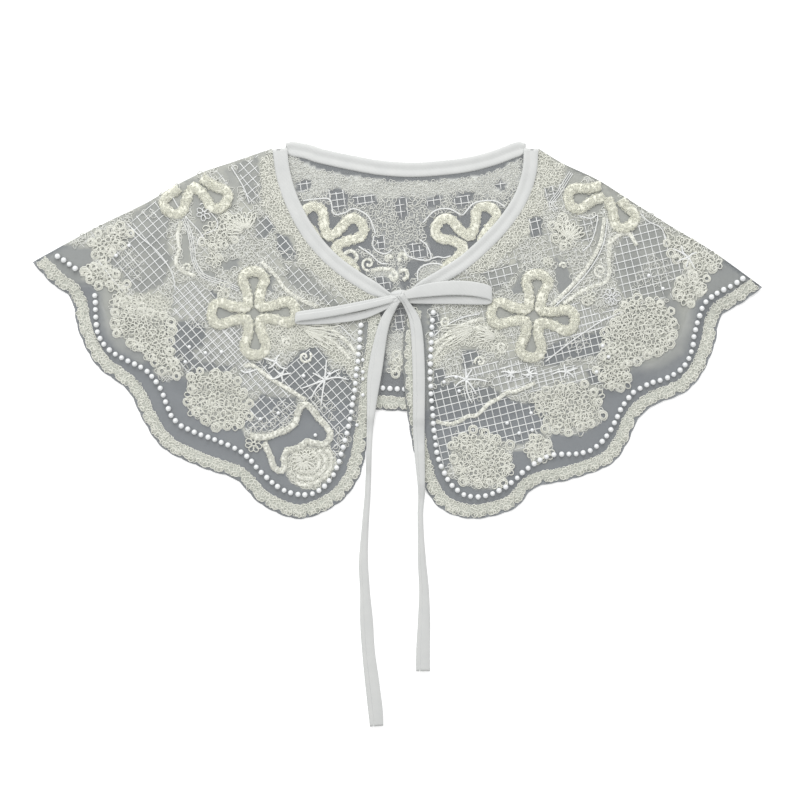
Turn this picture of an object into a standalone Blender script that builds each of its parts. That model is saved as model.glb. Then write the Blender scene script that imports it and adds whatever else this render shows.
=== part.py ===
"""Detachable lace collar, laid flat with its two fronts folded over the back and its ties in a bow.

The wide ring of embroidered organza is folded at both shoulders. Its back lies on the surface, its
fronts lie on the back, and past the back's hem they come down to the surface too. A folded tape
binds the neck, and its two ends are tied in a bow at the centre front.

Every table and size below is in millimetres. X runs to the right, Y away from the hem, Z up, and
the origin is on the surface under the middle of the whole laid-out collar. Left and right are as
seen from above with the hem towards the viewer.
"""

import math

import bmesh
import bpy
import numpy as np
from mathutils import Vector, geometry

MM = 0.001

# Cloth walls and the gaps between pieces
WALL = 1.2
GAP = 0.3
FRONT_LIFT = WALL + GAP
RAMP_START = 1.0
RAMP_LENGTH = 7.5

# Fold at the shoulders, where the front turns down beside the back's edge
FOLD_LIP = 1.5
FOLD_STEP = 0.25
FOLD_ROUND = 2.2
FOLD_DROP = 1.0
BACK_INSET = FOLD_LIP + FOLD_STEP + GAP
BACK_FOLD_TRIM = 5.0

# Raised embroidery: thick cord flowers and the looped border along the hem
CORD_WIDTH = 7.2
CORD_HEIGHT = 1.8
BORDER_START = 1.3
BORDER_END = 9.0
BORDER_HEIGHT = 0.8
BORDER_SLOPE = 0.8

# Neck binding and ties, of folded tape
TAPE_WIDTH = 9.2
TAPE_THICK = 1.8
BACK_TAPE_WIDTH = 9.4
CORNER_RISE = 0.6
CORNER_LENGTH = 22.0
TIE_SLOPE = 0.25

# Spacing of the points that the surfaces are made from. A filling point keeps a share of its step
# from every edge and row, and detail points closer than DETAIL_APART become one.
EDGE_STEP = 5.0
CORD_STEP = 3.75
TOP_STEP = 10.0
UNDER_STEP = 17.0
TAPE_STEP = 5.0
FILL_CLEAR = 0.45
FILL_APART = 0.5
DETAIL_APART = 0.75
FLOWER_SHARES = (-1.02, -0.62, 0.0, 0.62, 1.02)

# Flowers on the back are raised only this far inside the neck opening, and grow over this length
OPENING_CLEAR = 1.5
OPENING_FADE = 3.0

# A tie clears this much cloth round its own edge
TIE_REACH = 0.6
TIE_MARGIN = 1.5

# Middle line of the neck binding down each front, from the shoulder to the knot, and along the
# back. Columns: x, y
NECK_LEFT = (
    (-74.0, 178.6),
    (-70.9, 161.9),
    (-64.3, 144.9),
    (-53.2, 125.7),
    (-39.7, 109.9),
    (-24.3, 97.7),
    (-7.2, 86.8),
)
NECK_RIGHT = (
    (84.1, 178.6),
    (82.8, 163.5),
    (77.8, 148.4),
    (68.7, 133.9),
    (56.4, 120.3),
    (42.2, 107.7),
    (28.7, 98.9),
    (7.8, 87.4),
)
NECK_BACK = (
    (-70.5, 179.0),
    (-60.2, 179.6),
    (-41.3, 172.8),
    (-21.1, 168.6),
    (6.0, 166.2),
    (41.3, 169.6),
    (62.1, 174.2),
    (77.5, 179.6),
    (80.5, 178.6),
)

# Shoulder folds, from the neck to the side tip. Columns: x, y
FOLD_LEFT = (
    (-79.3, 178.9),
    (-106.8, 169.5),
    (-122.5, 164.2),
    (-142.1, 154.4),
    (-158.4, 144.6),
    (-190.0, 129.2),
    (-229.6, 107.6),
)
FOLD_RIGHT = (
    (88.7, 178.9),
    (104.3, 169.5),
    (126.3, 159.1),
    (149.6, 144.3),
    (173.6, 129.2),
    (198.8, 114.0),
    (229.6, 91.8),
)

# Front hems from the side tip to the centre front, through each lobe's dips and bellies.
# Columns: x, y
HEM_FRONT_LEFT = (
    (-229.6, 107.1),
    (-217.7, 93.9),
    (-205.7, 84.4),
    (-200.7, 63.6),
    (-189.3, 42.2),
    (-169.8, 26.5),
    (-160.3, 8.2),
    (-147.1, -10.1),
    (-121.3, -22.7),
    (-101.7, -29.6),
    (-85.4, -45.4),
    (-61.4, -54.2),
    (-37.5, -44.7),
    (-24.9, -29.6),
    (-20.5, -15.8),
)
HEM_FRONT_RIGHT = (
    (229.6, 91.4),
    (217.0, 81.9),
    (203.8, 73.1),
    (200.0, 56.1),
    (191.8, 37.2),
    (180.5, 25.2),
    (162.2, 17.6),
    (151.5, 8.2),
    (144.6, -6.9),
    (133.9, -20.2),
    (108.7, -29.6),
    (86.6, -34.7),
    (73.4, -47.9),
    (48.8, -54.2),
    (29.3, -49.1),
    (18.6, -37.2),
    (11.7, -19.5),
)

# The back's hem, hidden but for its middle, as lobes. Each row ends one lobe: bulge is how far it
# swells out, peak where along the lobe it is widest, and full how blunt it is (1 is a sine).
# Columns: x, y, bulge, peak, full
HEM_BACK_LEFT = (
    (-190.6, 90.7, 2.0, 0.5, 1.0),
    (-151.5, 44.7, 7.6, 0.55, 0.8),
    (-99.2, 34.7, 8.5, 0.5, 0.8),
    (-39.4, 19.5, 7.0, 0.5, 0.8),
    (36.2, 18.3, 5.4, 0.5, 0.8),
)
HEM_BACK_RIGHT = (
    (185.5, 80.6, 2.0, 0.5, 1.0),
    (152.8, 42.2, 8.5, 0.5, 0.8),
    (102.4, 33.4, 8.0, 0.5, 0.8),
    (36.2, 18.3, 7.0, 0.5, 0.8),
)

# Centre-front edges, from under the knot to the hem's corner. Columns: x, y
CENTRE_LEFT = ((-10.8, 80.6), (-9.4, 66.8), (-12.9, 38.4), (-15.4, 15.1), (-18.2, -2.0), (-20.5, -15.8))
CENTRE_RIGHT = ((6.4, 78.4), (3.6, 58.6), (3.6, 33.4), (6.0, 12.6), (8.5, -3.2), (11.7, -19.5))

# Four-petalled cord flowers: the middle, and the way that each petal points, in degrees.
# Columns: x, y, petals
FLOWERS_LEFT = (
    (-90.4, 75.4, (90, 2, -87, 181)),
    (-128.5, 160.6, (-125, -40, 55, 145)),
)
FLOWERS_RIGHT = (
    (85.3, 73.8, (83, -8, -94, 176)),
    (132.9, 153.0, (196, -62, 30, 108)),
)
FLOWERS_BACK = (
    (-45.0, 117.8, (114, 32, -56, 206)),
    (47.6, 118.0, (149, 66, -26, 236)),
)
# One petal's middle line, from the flower's waist to near the tip. Columns: distance out, half width
PETAL = ((4.2, 3.6), (9.5, 3.7), (14.5, 4.7), (19.5, 6.7), (23.4, 6.3), (25.8, 3.4))
PETAL_TIP = 26.4

# Soft swells where air is caught between the fronts and the back.
# Columns: x, y, half length, half width, turn in degrees, height
SWELLS = (
    (-150.0, 118.0, 44.0, 17.0, 28.0, 0.9),
    (-98.0, 140.0, 30.0, 12.0, 60.0, 0.7),
    (-120.0, 66.0, 34.0, 14.0, 40.0, 0.6),
    (148.0, 108.0, 46.0, 17.0, -34.0, 0.9),
    (104.0, 134.0, 30.0, 12.0, -66.0, 0.7),
    (110.0, 58.0, 36.0, 13.0, -20.0, 0.5),
)
SWELL_EDGE = 16.0

# Ties: the middle of the tape at each station, its width there and its thickness.
# Columns: x, y, width, thickness
TAIL_LEFT = (
    (-2.6, 79.4, 4.6, 2.0),
    (-8.8, 66.8, 7.0, 1.6),
    (-14.2, 38.4, 8.8, 1.6),
    (-16.4, 15.1, 5.7, 2.2),
    (-17.6, -4.4, 3.8, 2.6),
    (-18.6, -35.3, 3.6, 2.6),
    (-20.2, -57.3, 4.4, 2.4),
    (-21.4, -80.0, 5.7, 2.0),
    (-20.5, -98.9, 6.3, 1.8),
    (-19.5, -117.8, 8.0, 1.6),
    (-18.3, -136.7, 8.2, 1.6),
    (-16.1, -155.6, 8.8, 1.6),
    (-13.9, -174.5, 9.2, 1.6),
    (-13.1, -184.5, 8.6, 1.6),
)
TAIL_RIGHT = (
    (4.8, 79.4, 5.0, 2.0),
    (11.3, 66.8, 8.2, 1.6),
    (13.2, 38.4, 8.2, 1.6),
    (13.5, -0.6, 7.4, 1.8),
    (15.1, -35.3, 4.4, 2.4),
    (14.4, -52.0, 3.6, 2.6),
    (15.4, -80.0, 5.0, 2.2),
    (16.7, -98.9, 6.3, 1.8),
    (16.7, -117.8, 7.6, 1.6),
    (16.1, -136.7, 8.8, 1.6),
    (16.1, -149.9, 8.8, 1.6),
)
LOOP_LEFT = (
    (-6.4, 81.9, 4.6, 2.6),
    (-20.0, 79.6, 6.6, 3.0),
    (-38.0, 76.0, 7.6, 3.2),
    (-54.0, 73.4, 8.0, 3.2),
    (-63.4, 72.2, 6.6, 2.8),
)
LOOP_RIGHT = (
    (7.0, 85.4, 6.6, 2.6),
    (17.3, 86.4, 11.6, 3.2),
    (33.1, 88.0, 13.4, 3.4),
    (45.7, 87.4, 12.2, 3.2),
    (58.6, 86.7, 10.2, 2.8),
)
KNOT_MIDDLE = (0.3, 85.5)
KNOT_SIZE = (11.0, 9.6, 5.6)
KNOT_SEGMENTS = 20
KNOT_RINGS = 12
KNOT_SQUARENESS = 0.72

# Tape section round its edge. Columns: share of the half width, share of the thickness
TAPE_SECTION = (
    (-1.0, 0.35),
    (-0.9, 0.0),
    (0.9, 0.0),
    (1.0, 0.35),
    (0.98, 0.78),
    (0.82, 1.0),
    (-0.82, 1.0),
    (-0.98, 0.78),
)
# A flattened loop: the strand that returns to the knot lies on the one that leaves it
LOOP_SECTION = (
    (-1.0, 0.12),
    (-0.93, 0.0),
    (0.9, 0.0),
    (1.0, 0.25),
    (0.98, 0.85),
    (0.85, 1.0),
    (-0.2, 1.0),
    (-0.34, 0.86),
    (-0.36, 0.5),
    (-0.93, 0.42),
)

LACE = ("embroidered organza", (0.74, 0.73, 0.64), 0.85)
TAPE = ("white binding tape", (0.82, 0.83, 0.82), 0.7)
SMOOTH_ANGLE = math.radians(50.0)


def clear_scene():
    for obj in list(bpy.data.objects):
        bpy.data.objects.remove(obj, do_unlink=True)


def smooth_line(stations, step):
    """A smooth curve through the stations, with a point about every step along it."""
    knots = np.array([row[:2] for row in stations], float)
    ends = np.vstack([2 * knots[0] - knots[1], knots, 2 * knots[-1] - knots[-2]])
    points = []
    for i in range(len(knots) - 1):
        p0, p1, p2, p3 = ends[i : i + 4]
        count = max(1, round(np.linalg.norm(p2 - p1) / step))
        for t in np.arange(count) / count:
            points.append(
                0.5
                * (
                    2 * p1
                    + (p2 - p0) * t
                    + (2 * p0 - 5 * p1 + 4 * p2 - p3) * t**2
                    + (3 * p1 - p0 - 3 * p2 + p3) * t**3
                )
            )
    points.append(knots[-1])
    return np.array(points)


def lobed_line(rows, side):
    """An edge of lobes from a lobe table; side is 1 where it swells to the left of its run, else -1."""
    points = [np.array(rows[0][:2], float)]
    for (x0, y0, *_), (x1, y1, bulge, peak, full) in zip(rows, rows[1:]):
        start = np.array((x0, y0), float)
        run = np.array((x1, y1), float) - start
        length = np.linalg.norm(run)
        across = side * np.array((-run[1], run[0])) / length
        count = max(3, round((length + abs(bulge)) / EDGE_STEP))
        power = math.log(0.5) / math.log(peak)
        # Points crowd towards both ends, where a full lobe turns fastest
        for t in 0.5 - 0.5 * np.cos(np.pi * np.arange(1, count + 1) / count):
            swell = bulge * max(0.0, math.sin(math.pi * t**power)) ** full
            points.append(start + run * t + across * swell)
    return np.array(points)


def offset_line(line, distance):
    """The line moved to its left by distance, point for point."""
    run = np.gradient(line, axis=0)
    run /= np.linalg.norm(run, axis=1)[:, None]
    return line + distance * np.column_stack([-run[:, 1], run[:, 0]])


def distance_to_line(points, line):
    start, run = line[:-1], line[1:] - line[:-1]
    reach = points[:, None] - start
    along = np.clip((reach * run).sum(-1) / (run * run).sum(-1), 0, 1)
    return np.linalg.norm(reach - along[..., None] * run, axis=-1).min(1)


def closed(outline):
    return np.vstack([outline, outline[:1]])


def depth_inside(points, outline):
    """How far each point is inside the outline, negative outside it."""
    start, end = outline, np.roll(outline, -1, axis=0)
    x, y = points[:, :1], points[:, 1:]
    spans = (start[:, 1] > y) != (end[:, 1] > y)
    rise = np.where(spans, end[:, 1] - start[:, 1], 1.0)
    crossing = start[:, 0] + (y - start[:, 1]) * (end[:, 0] - start[:, 0]) / rise
    inside = (spans & (x < crossing)).sum(1) % 2 == 1
    distance = distance_to_line(points, closed(outline))
    return np.where(inside, distance, -distance)


def smooth_step(value):
    value = np.clip(value, 0, 1)
    return value * value * (3 - 2 * value)


def cut_at_depths(line, fold, depths):
    """The line with a point added wherever it passes one of the depths from the fold."""
    for depth in depths:
        away = distance_to_line(line, fold) - depth
        for i in np.flatnonzero(away[:-1] * away[1:] < 0)[::-1]:
            share = away[i] / (away[i] - away[i + 1])
            line = np.insert(line, i + 1, line[i] + share * (line[i + 1] - line[i]), axis=0)
    return line


def flower_line(flower):
    """The middle line of a flower's cord, in and out of its four petals."""
    x, y, petals = flower
    ring = []
    for turn in sorted(petals):
        out, side = (np.array(column) for column in zip(*PETAL))
        along = np.concatenate([out, [PETAL_TIP], out[::-1]])
        half = np.concatenate([-side, [0.0], side[::-1]])
        angle = math.radians(turn)
        ring.extend(
            zip(
                x + along * math.cos(angle) - half * math.sin(angle),
                y + along * math.sin(angle) + half * math.cos(angle),
            )
        )
    return np.array(ring)


def cord_relief(points, flowers):
    """How far the flower cords stand out of the cloth at each point."""
    nearest = np.full(len(points), CORD_WIDTH)
    for flower in flowers:
        nearest = np.minimum(nearest, distance_to_line(points, closed(flower_line(flower))))
    share = np.clip(1 - (nearest / (CORD_WIDTH / 2)) ** 2, 0, 1)
    return CORD_HEIGHT * np.sqrt(share)


def border_relief(points, hem):
    """How far the looped border along the hem stands out at each point."""
    depth = distance_to_line(points, hem)
    rise = smooth_step((depth - BORDER_START) / BORDER_SLOPE)
    fall = smooth_step((BORDER_END - depth) / BORDER_SLOPE)
    return BORDER_HEIGHT * rise * fall


def swell_height(points):
    total = np.zeros(len(points))
    for x, y, along, across, turn, height in SWELLS:
        angle = math.radians(turn)
        u = (points[:, 0] - x) * math.cos(angle) + (points[:, 1] - y) * math.sin(angle)
        v = (points[:, 1] - y) * math.cos(angle) - (points[:, 0] - x) * math.sin(angle)
        total += height * np.exp(-((u / along) ** 2) - (v / across) ** 2)
    return total


class Layout:
    """The outlines of the three panels and the heights at which they lie."""

    def __init__(self):
        self.fold = {
            "left": smooth_line(FOLD_LEFT, EDGE_STEP),
            "right": smooth_line(FOLD_RIGHT, EDGE_STEP),
        }
        self.hem = {
            "left": smooth_line(HEM_FRONT_LEFT, EDGE_STEP),
            "right": smooth_line(HEM_FRONT_RIGHT, EDGE_STEP),
        }
        self.neck = {
            "left": smooth_line(NECK_LEFT, EDGE_STEP),
            "right": smooth_line(NECK_RIGHT, EDGE_STEP),
        }
        self.opening = np.vstack([self.neck["left"], self.neck["right"][::-1]])
        self.back = self.back_outline()
        self.front = {side: self.front_outline(side) for side in ("left", "right")}

    def back_outline(self):
        """The back panel, inside both folds, round to its own hem."""
        seam = offset_line(smooth_line(NECK_BACK, EDGE_STEP), -(BACK_TAPE_WIDTH / 2 + GAP))
        left = offset_line(self.fold["left"], BACK_INSET)
        right = offset_line(self.fold["right"], -BACK_INSET)
        keep = slice(1, -1)
        left, right = left[keep], right[keep]
        left = left[np.linalg.norm(left - self.fold["left"][-1], axis=1) > BACK_FOLD_TRIM]
        right = right[np.linalg.norm(right - self.fold["right"][-1], axis=1) > BACK_FOLD_TRIM]
        tip_left = (*left[-1], 0, 0.5, 1.0)
        tip_right = (*right[-1], 0, 0.5, 1.0)
        hem_left = lobed_line((tip_left, *HEM_BACK_LEFT), -1)
        hem_right = lobed_line((tip_right, *HEM_BACK_RIGHT), 1)
        self.back_hem = np.vstack([hem_left, hem_right[::-1][1:]])
        seam = seam[(seam[:, 0] > left[0, 0] + 1) & (seam[:, 0] < right[0, 0] - 1)]
        return np.vstack([left, hem_left[1:], hem_right[::-1][1:-1], right[::-1], seam[::-1]])

    def front_outline(self, side):
        """A front panel: down its fold, round the hem, up the centre front, back along the neck."""
        sign = 1 if side == "left" else -1
        centre = smooth_line(CENTRE_LEFT if side == "left" else CENTRE_RIGHT, EDGE_STEP)[::-1]
        seam = offset_line(self.neck[side], -sign * (TAPE_WIDTH / 2 + GAP))[::-1]
        fold = self.fold[side]
        cuts = (FOLD_LIP, FOLD_LIP + FOLD_STEP)
        seam = seam[(seam[:, 1] > centre[-1, 1] + 1) & (seam[:, 1] < fold[0, 1] - 0.5)]
        seam = cut_at_depths(np.vstack([seam, fold[:1]]), fold, cuts)[:-1]
        hem = cut_at_depths(np.vstack([fold[-1:], self.hem[side]]), fold, cuts)[1:]
        outline = np.vstack([fold, hem, centre[1:], seam])
        return outline if side == "left" else outline[::-1]

    def front_base(self, points, side):
        """The height of a front's underside, lifted over the back and down on the surface past it."""
        outside = -depth_inside(points, self.back)
        over = 1 - smooth_step((outside - RAMP_START) / RAMP_LENGTH)
        quiet = smooth_step(depth_inside(points, self.front[side]) / SWELL_EDGE)
        quiet *= smooth_step(-outside / SWELL_EDGE)
        return FRONT_LIFT * over + swell_height(points) * quiet

    def front_under(self, points, side):
        fold_depth = distance_to_line(points, self.fold[side])
        under = self.front_base(points, side)
        lip = np.where(fold_depth < FOLD_LIP / 3, FOLD_LIP / 3 - fold_depth, 0.0)
        return np.where(fold_depth < FOLD_LIP + FOLD_STEP / 2, lip, under)

    def front_top(self, points, side):
        fold_depth = distance_to_line(points, self.fold[side])
        flowers = FLOWERS_LEFT if side == "left" else FLOWERS_RIGHT
        relief = np.maximum(cord_relief(points, flowers), border_relief(points, self.hem[side]))
        relief *= smooth_step(fold_depth / (2 * FOLD_ROUND))
        rim = FOLD_DROP * np.clip(1 - fold_depth / FOLD_ROUND, 0, 1) ** 2
        lift = np.maximum(self.front_base(points, side), FRONT_LIFT * (fold_depth < FOLD_ROUND))
        return lift + WALL + relief - rim

    def back_top(self, points):
        """The back's upper face, its flowers raised only where the neck opening shows them."""
        clear = depth_inside(points, self.opening) - TAPE_WIDTH / 2
        return WALL + cord_relief(points, FLOWERS_BACK) * smooth_step((clear - OPENING_CLEAR) / OPENING_FADE)

    def support(self, points):
        """The highest cloth or binding under each point, which a tie rests on."""
        height = np.where(depth_inside(points, self.back) > -TIE_MARGIN, WALL, 0.0)
        for side in ("left", "right"):
            on_front = depth_inside(points, self.front[side]) > -TIE_MARGIN
            height = np.maximum(height, np.where(on_front, self.front_top(points, side), 0))
            on_tape = distance_to_line(points, self.neck[side]) < TAPE_WIDTH / 2 + TIE_MARGIN
            height = np.maximum(height, np.where(on_tape, FRONT_LIFT + TAPE_THICK, 0))
        return height


def fill_points(outline, rows, step):
    """Evenly spaced points inside the outline, none close to its edge or to the rows."""
    low, high = outline.min(0), outline.max(0)
    grid = []
    for j, y in enumerate(np.arange(low[1], high[1], step * math.sqrt(0.75))):
        for x in np.arange(low[0] + (j % 2) * step / 2, high[0], step):
            grid.append((x, y))
    grid = np.array(grid)
    keep = depth_inside(grid, outline) > FILL_CLEAR * step
    for row in rows:
        keep &= np.linalg.norm(grid[:, None] - row, axis=-1).min(1) > FILL_APART * step
    return grid[keep]


def inner_row(line, distance, outline, margin):
    """The line moved inwards, without the points that come too close to an edge or to each other."""
    row = offset_line(line, distance)
    row = row[depth_inside(row, outline) > margin]
    row = row[distance_to_line(row, line) > abs(distance) - 0.3]
    kept = [row[0]]
    for point in row[1:]:
        if np.linalg.norm(point - kept[-1]) > 0.35 * EDGE_STEP:
            kept.append(point)
    return np.array(kept)


def triangulate(outline, fill, fixed_rows):
    """Triangles over the outline through the fill points, with the fixed rows as edges."""
    points = [Vector(p) for p in outline]
    edges = [(i, (i + 1) % len(points)) for i in range(len(points))]
    for row in fixed_rows:
        first = len(points)
        points.extend(Vector(p) for p in row)
        edges.extend((first + i, first + i + 1) for i in range(len(row) - 1))
    points.extend(Vector(p) for p in fill)
    found, _, faces, origins, _, _ = geometry.delaunay_2d_cdt(points, edges, [], 1, 0.001)
    place = {source: i for i, sources in enumerate(origins) for source in sources}
    rim = [place[i] for i in range(len(outline))]
    return np.array([tuple(p) for p in found]), faces, rim


def finished(name, mesh, material):
    mesh.materials.append(material)
    mesh.shade_smooth()
    mesh.set_sharp_from_angle(angle=SMOOTH_ANGLE)
    obj = bpy.data.objects.new(name, mesh)
    bpy.context.scene.collection.objects.link(obj)
    return obj


def mesh_from(bm, name):
    bmesh.ops.recalc_face_normals(bm, faces=bm.faces)
    bmesh.ops.triangulate(bm, faces=bm.faces)
    mesh = bpy.data.meshes.new(name)
    bm.to_mesh(mesh)
    bm.free()
    return mesh


def make_material(look):
    name, colour, roughness = look
    material = bpy.data.materials.new(name)
    material.use_nodes = True
    shader = material.node_tree.nodes["Principled BSDF"]
    shader.inputs["Base Color"].default_value = (*colour, 1.0)
    shader.inputs["Roughness"].default_value = roughness
    shader.inputs["Metallic"].default_value = 0.0
    return material


def make_panel(name, outline, top, under, material):
    """A cloth wall. top and under are each a height function with its fixed rows and fill points."""
    bm = bmesh.new()
    rims = []
    for height, rows, fill in (top, under):
        points, faces, rim = triangulate(outline, fill, rows)
        verts = [bm.verts.new((x * MM, y * MM, z * MM)) for (x, y), z in zip(points, height(points))]
        for face in faces:
            bm.faces.new([verts[i] for i in face])
        rims.append([verts[i] for i in rim])
    upper, lower = rims
    for i in range(len(upper)):
        j = (i + 1) % len(upper)
        bm.faces.new((lower[i], lower[j], upper[j], upper[i]))
    return finished(name, mesh_from(bm, name), material)


def flower_rows(flowers, outline, area=None):
    """Rows of points over each flower's cord: both feet, both shoulders and the crest."""
    rows = []
    for flower in flowers:
        ring = closed(flower_line(flower))
        middle = smooth_line(ring, CORD_STEP)
        for share in FLOWER_SHARES:
            row = offset_line(middle, share * CORD_WIDTH / 2)
            keep = distance_to_line(row, ring) > abs(share) * CORD_WIDTH / 2 - 0.5
            keep &= depth_inside(row, outline) > 1.5
            if area is not None:
                keep &= depth_inside(row, area) > 1.0
            rows.append(row[keep])
    return rows


def thinned(rows, spacing=DETAIL_APART):
    """All points of the rows that are no closer than spacing to one kept before."""
    kept = []
    for point in np.vstack([row for row in rows if len(row)]):
        if not kept or np.linalg.norm(np.array(kept) - point, axis=1).min() > spacing:
            kept.append(point)
    return np.array(kept)


def make_back_panel(layout, material):
    outline = layout.back
    flowers = thinned(flower_rows(FLOWERS_BACK, outline, layout.opening))
    fill = fill_points(outline, [flowers], 2 * TOP_STEP)
    top = (layout.back_top, [], np.vstack([flowers, fill]))
    under = (lambda points: np.zeros(len(points)), [], fill_points(outline, [], 2 * UNDER_STEP))
    return make_panel("back_panel", outline, top, under, material)


def make_front_panel(layout, side, material):
    sign = 1 if side == "left" else -1
    outline = layout.front[side]
    fold, hem = layout.fold[side], layout.hem[side]
    flowers = FLOWERS_LEFT if side == "left" else FLOWERS_RIGHT

    def lip_row(distance):
        """A row along the fold that ends on the outline's own points at that depth."""
        row = offset_line(fold, sign * distance)[1:-1]
        row = row[(depth_inside(row, outline) > 0.8 * distance)]
        ends = outline[np.abs(distance_to_line(outline, fold) - distance) < 0.02]
        ends = ends[np.argsort(np.linalg.norm(ends - fold[0], axis=1))]
        return np.vstack([ends[:1], row, ends[-1:]])

    lips = [lip_row(FOLD_LIP), lip_row(FOLD_LIP + FOLD_STEP)]
    ramp_in = inner_row(layout.back_hem, -RAMP_START, outline, 1.2)
    ramp_out = inner_row(layout.back_hem, -(RAMP_START + RAMP_LENGTH), outline, 1.2)
    ramp_mid = inner_row(layout.back_hem, -(RAMP_START + RAMP_LENGTH / 2), outline, 1.2)
    clear = np.vstack(lips)
    ramps = [row[distance_to_line(row, clear) > 1.2] for row in (ramp_in, ramp_mid, ramp_out)]
    border = [
        inner_row(hem, sign * depth, outline, 0.8 * depth)
        for depth in (BORDER_START, BORDER_START + BORDER_SLOPE, BORDER_END - BORDER_SLOPE, BORDER_END)
    ]
    raised = thinned([*flower_rows(flowers, outline), *border])
    raised = raised[distance_to_line(raised, fold) > FOLD_ROUND + 0.6]
    shoulder = [lip_row(FOLD_LIP / 2)[1:-1], lip_row(FOLD_ROUND)[1:-1]]
    detail = thinned([raised, *shoulder, *ramps])
    top_fill = np.vstack([detail, fill_points(outline, [detail], TOP_STEP)])
    heel = lip_row(FOLD_LIP / 3)[1:-1]
    under_detail = thinned([heel, *ramps])
    under_fill = np.vstack([under_detail, fill_points(outline, [under_detail, clear], UNDER_STEP)])
    top = (lambda points: layout.front_top(points, side), [], top_fill)
    under = (lambda points: layout.front_under(points, side), lips, under_fill)
    return make_panel(f"front_{side}_panel", outline, top, under, material)


def make_tape(name, line, widths, bottoms, thicks, section, material):
    """A length of tape along a line, its section set flat across it."""
    run = np.gradient(line, axis=0)
    run /= np.linalg.norm(run, axis=1)[:, None]
    bm = bmesh.new()
    rings = []
    for (x, y), (dx, dy), width, bottom, thick in zip(line, run, widths, bottoms, thicks):
        ring = []
        for across, up in section:
            reach = across * width / 2
            place = ((x - dy * reach) * MM, (y + dx * reach) * MM, (bottom + up * thick) * MM)
            ring.append(bm.verts.new(place))
        rings.append(ring)
    for near, far in zip(rings, rings[1:]):
        for i in range(len(section)):
            j = (i + 1) % len(section)
            bm.faces.new((near[i], near[j], far[j], far[i]))
    bm.faces.new(rings[0][::-1])
    bm.faces.new(rings[-1])
    return finished(name, mesh_from(bm, name), material)


def make_front_binding(layout, side, material):
    line = layout.neck[side]
    along = np.concatenate([[0], np.cumsum(np.linalg.norm(np.diff(line, axis=0), axis=1))])
    rise = CORNER_RISE * (1 - smooth_step((along - CORNER_LENGTH / 2) / (CORNER_LENGTH / 2)))
    count = len(line)
    return make_tape(
        f"binding_front_{side}",
        line,
        [TAPE_WIDTH] * count,
        FRONT_LIFT + rise,
        [TAPE_THICK] * count,
        TAPE_SECTION,
        material,
    )


def make_back_binding(material):
    line = smooth_line(NECK_BACK, EDGE_STEP)
    count = len(line)
    return make_tape(
        "binding_back",
        line,
        [BACK_TAPE_WIDTH] * count,
        [0.0] * count,
        [TAPE_THICK] * count,
        TAPE_SECTION,
        material,
    )


def make_tie(layout, name, stations, section, material):
    """A tie that rests on whatever it crosses and eases down to the surface past the hem."""
    line = smooth_line(stations, TAPE_STEP)
    order = np.arange(len(line))
    knots = [np.linalg.norm(line - row[:2], axis=1).argmin() for row in stations]
    widths = np.interp(order, knots, [row[2] for row in stations])
    thicks = np.interp(order, knots, [row[3] for row in stations])
    run = np.gradient(line, axis=0)
    run /= np.linalg.norm(run, axis=1)[:, None]
    side = np.column_stack([-run[:, 1], run[:, 0]])
    spots = []
    for across in np.linspace(-TIE_REACH, TIE_REACH, 7):
        for ahead in (-TIE_REACH, 0.0, TIE_REACH):
            spots.append(line + side * (widths * across)[:, None] + run * TAPE_STEP * ahead)
    under = np.max([layout.support(spot) for spot in spots], axis=0)
    under = np.where(under > 0, under + GAP, 0.0)
    along = np.concatenate([[0], np.cumsum(np.linalg.norm(np.diff(line, axis=0), axis=1))])
    apart = np.abs(along[:, None] - along)
    bottoms = np.maximum((under - TIE_SLOPE * apart).max(1), 0.0)
    return make_tape(name, line, widths, bottoms, thicks, section, material)


def make_knot(material):
    """The knot: a small squarish lump that stands on the back panel between the binding's ends."""
    bm = bmesh.new()
    bmesh.ops.create_uvsphere(bm, u_segments=KNOT_SEGMENTS, v_segments=KNOT_RINGS, radius=1.0)
    size = np.array(KNOT_SIZE) / 2
    for vert in bm.verts:
        unit = np.array(vert.co)
        blunt = np.sign(unit) * np.abs(unit) ** KNOT_SQUARENESS
        x, y, z = blunt * size
        vert.co = (
            (KNOT_MIDDLE[0] + x) * MM,
            (KNOT_MIDDLE[1] + y) * MM,
            (FRONT_LIFT + size[2] + z) * MM,
        )
    return finished("bow_knot", mesh_from(bm, "bow_knot"), material)


def build():
    clear_scene()
    layout = Layout()
    lace, tape = make_material(LACE), make_material(TAPE)
    make_back_panel(layout, lace)
    make_back_binding(tape)
    for side in ("left", "right"):
        make_front_panel(layout, side, lace)
        make_front_binding(layout, side, tape)
    make_tie(layout, "tie_tail_left", TAIL_LEFT, TAPE_SECTION, tape)
    make_tie(layout, "tie_tail_right", TAIL_RIGHT, TAPE_SECTION, tape)
    make_tie(layout, "bow_loop_left", LOOP_LEFT, LOOP_SECTION, tape)
    make_tie(layout, "bow_loop_right", LOOP_RIGHT, LOOP_SECTION, tape)
    make_knot(tape)


build()
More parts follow.
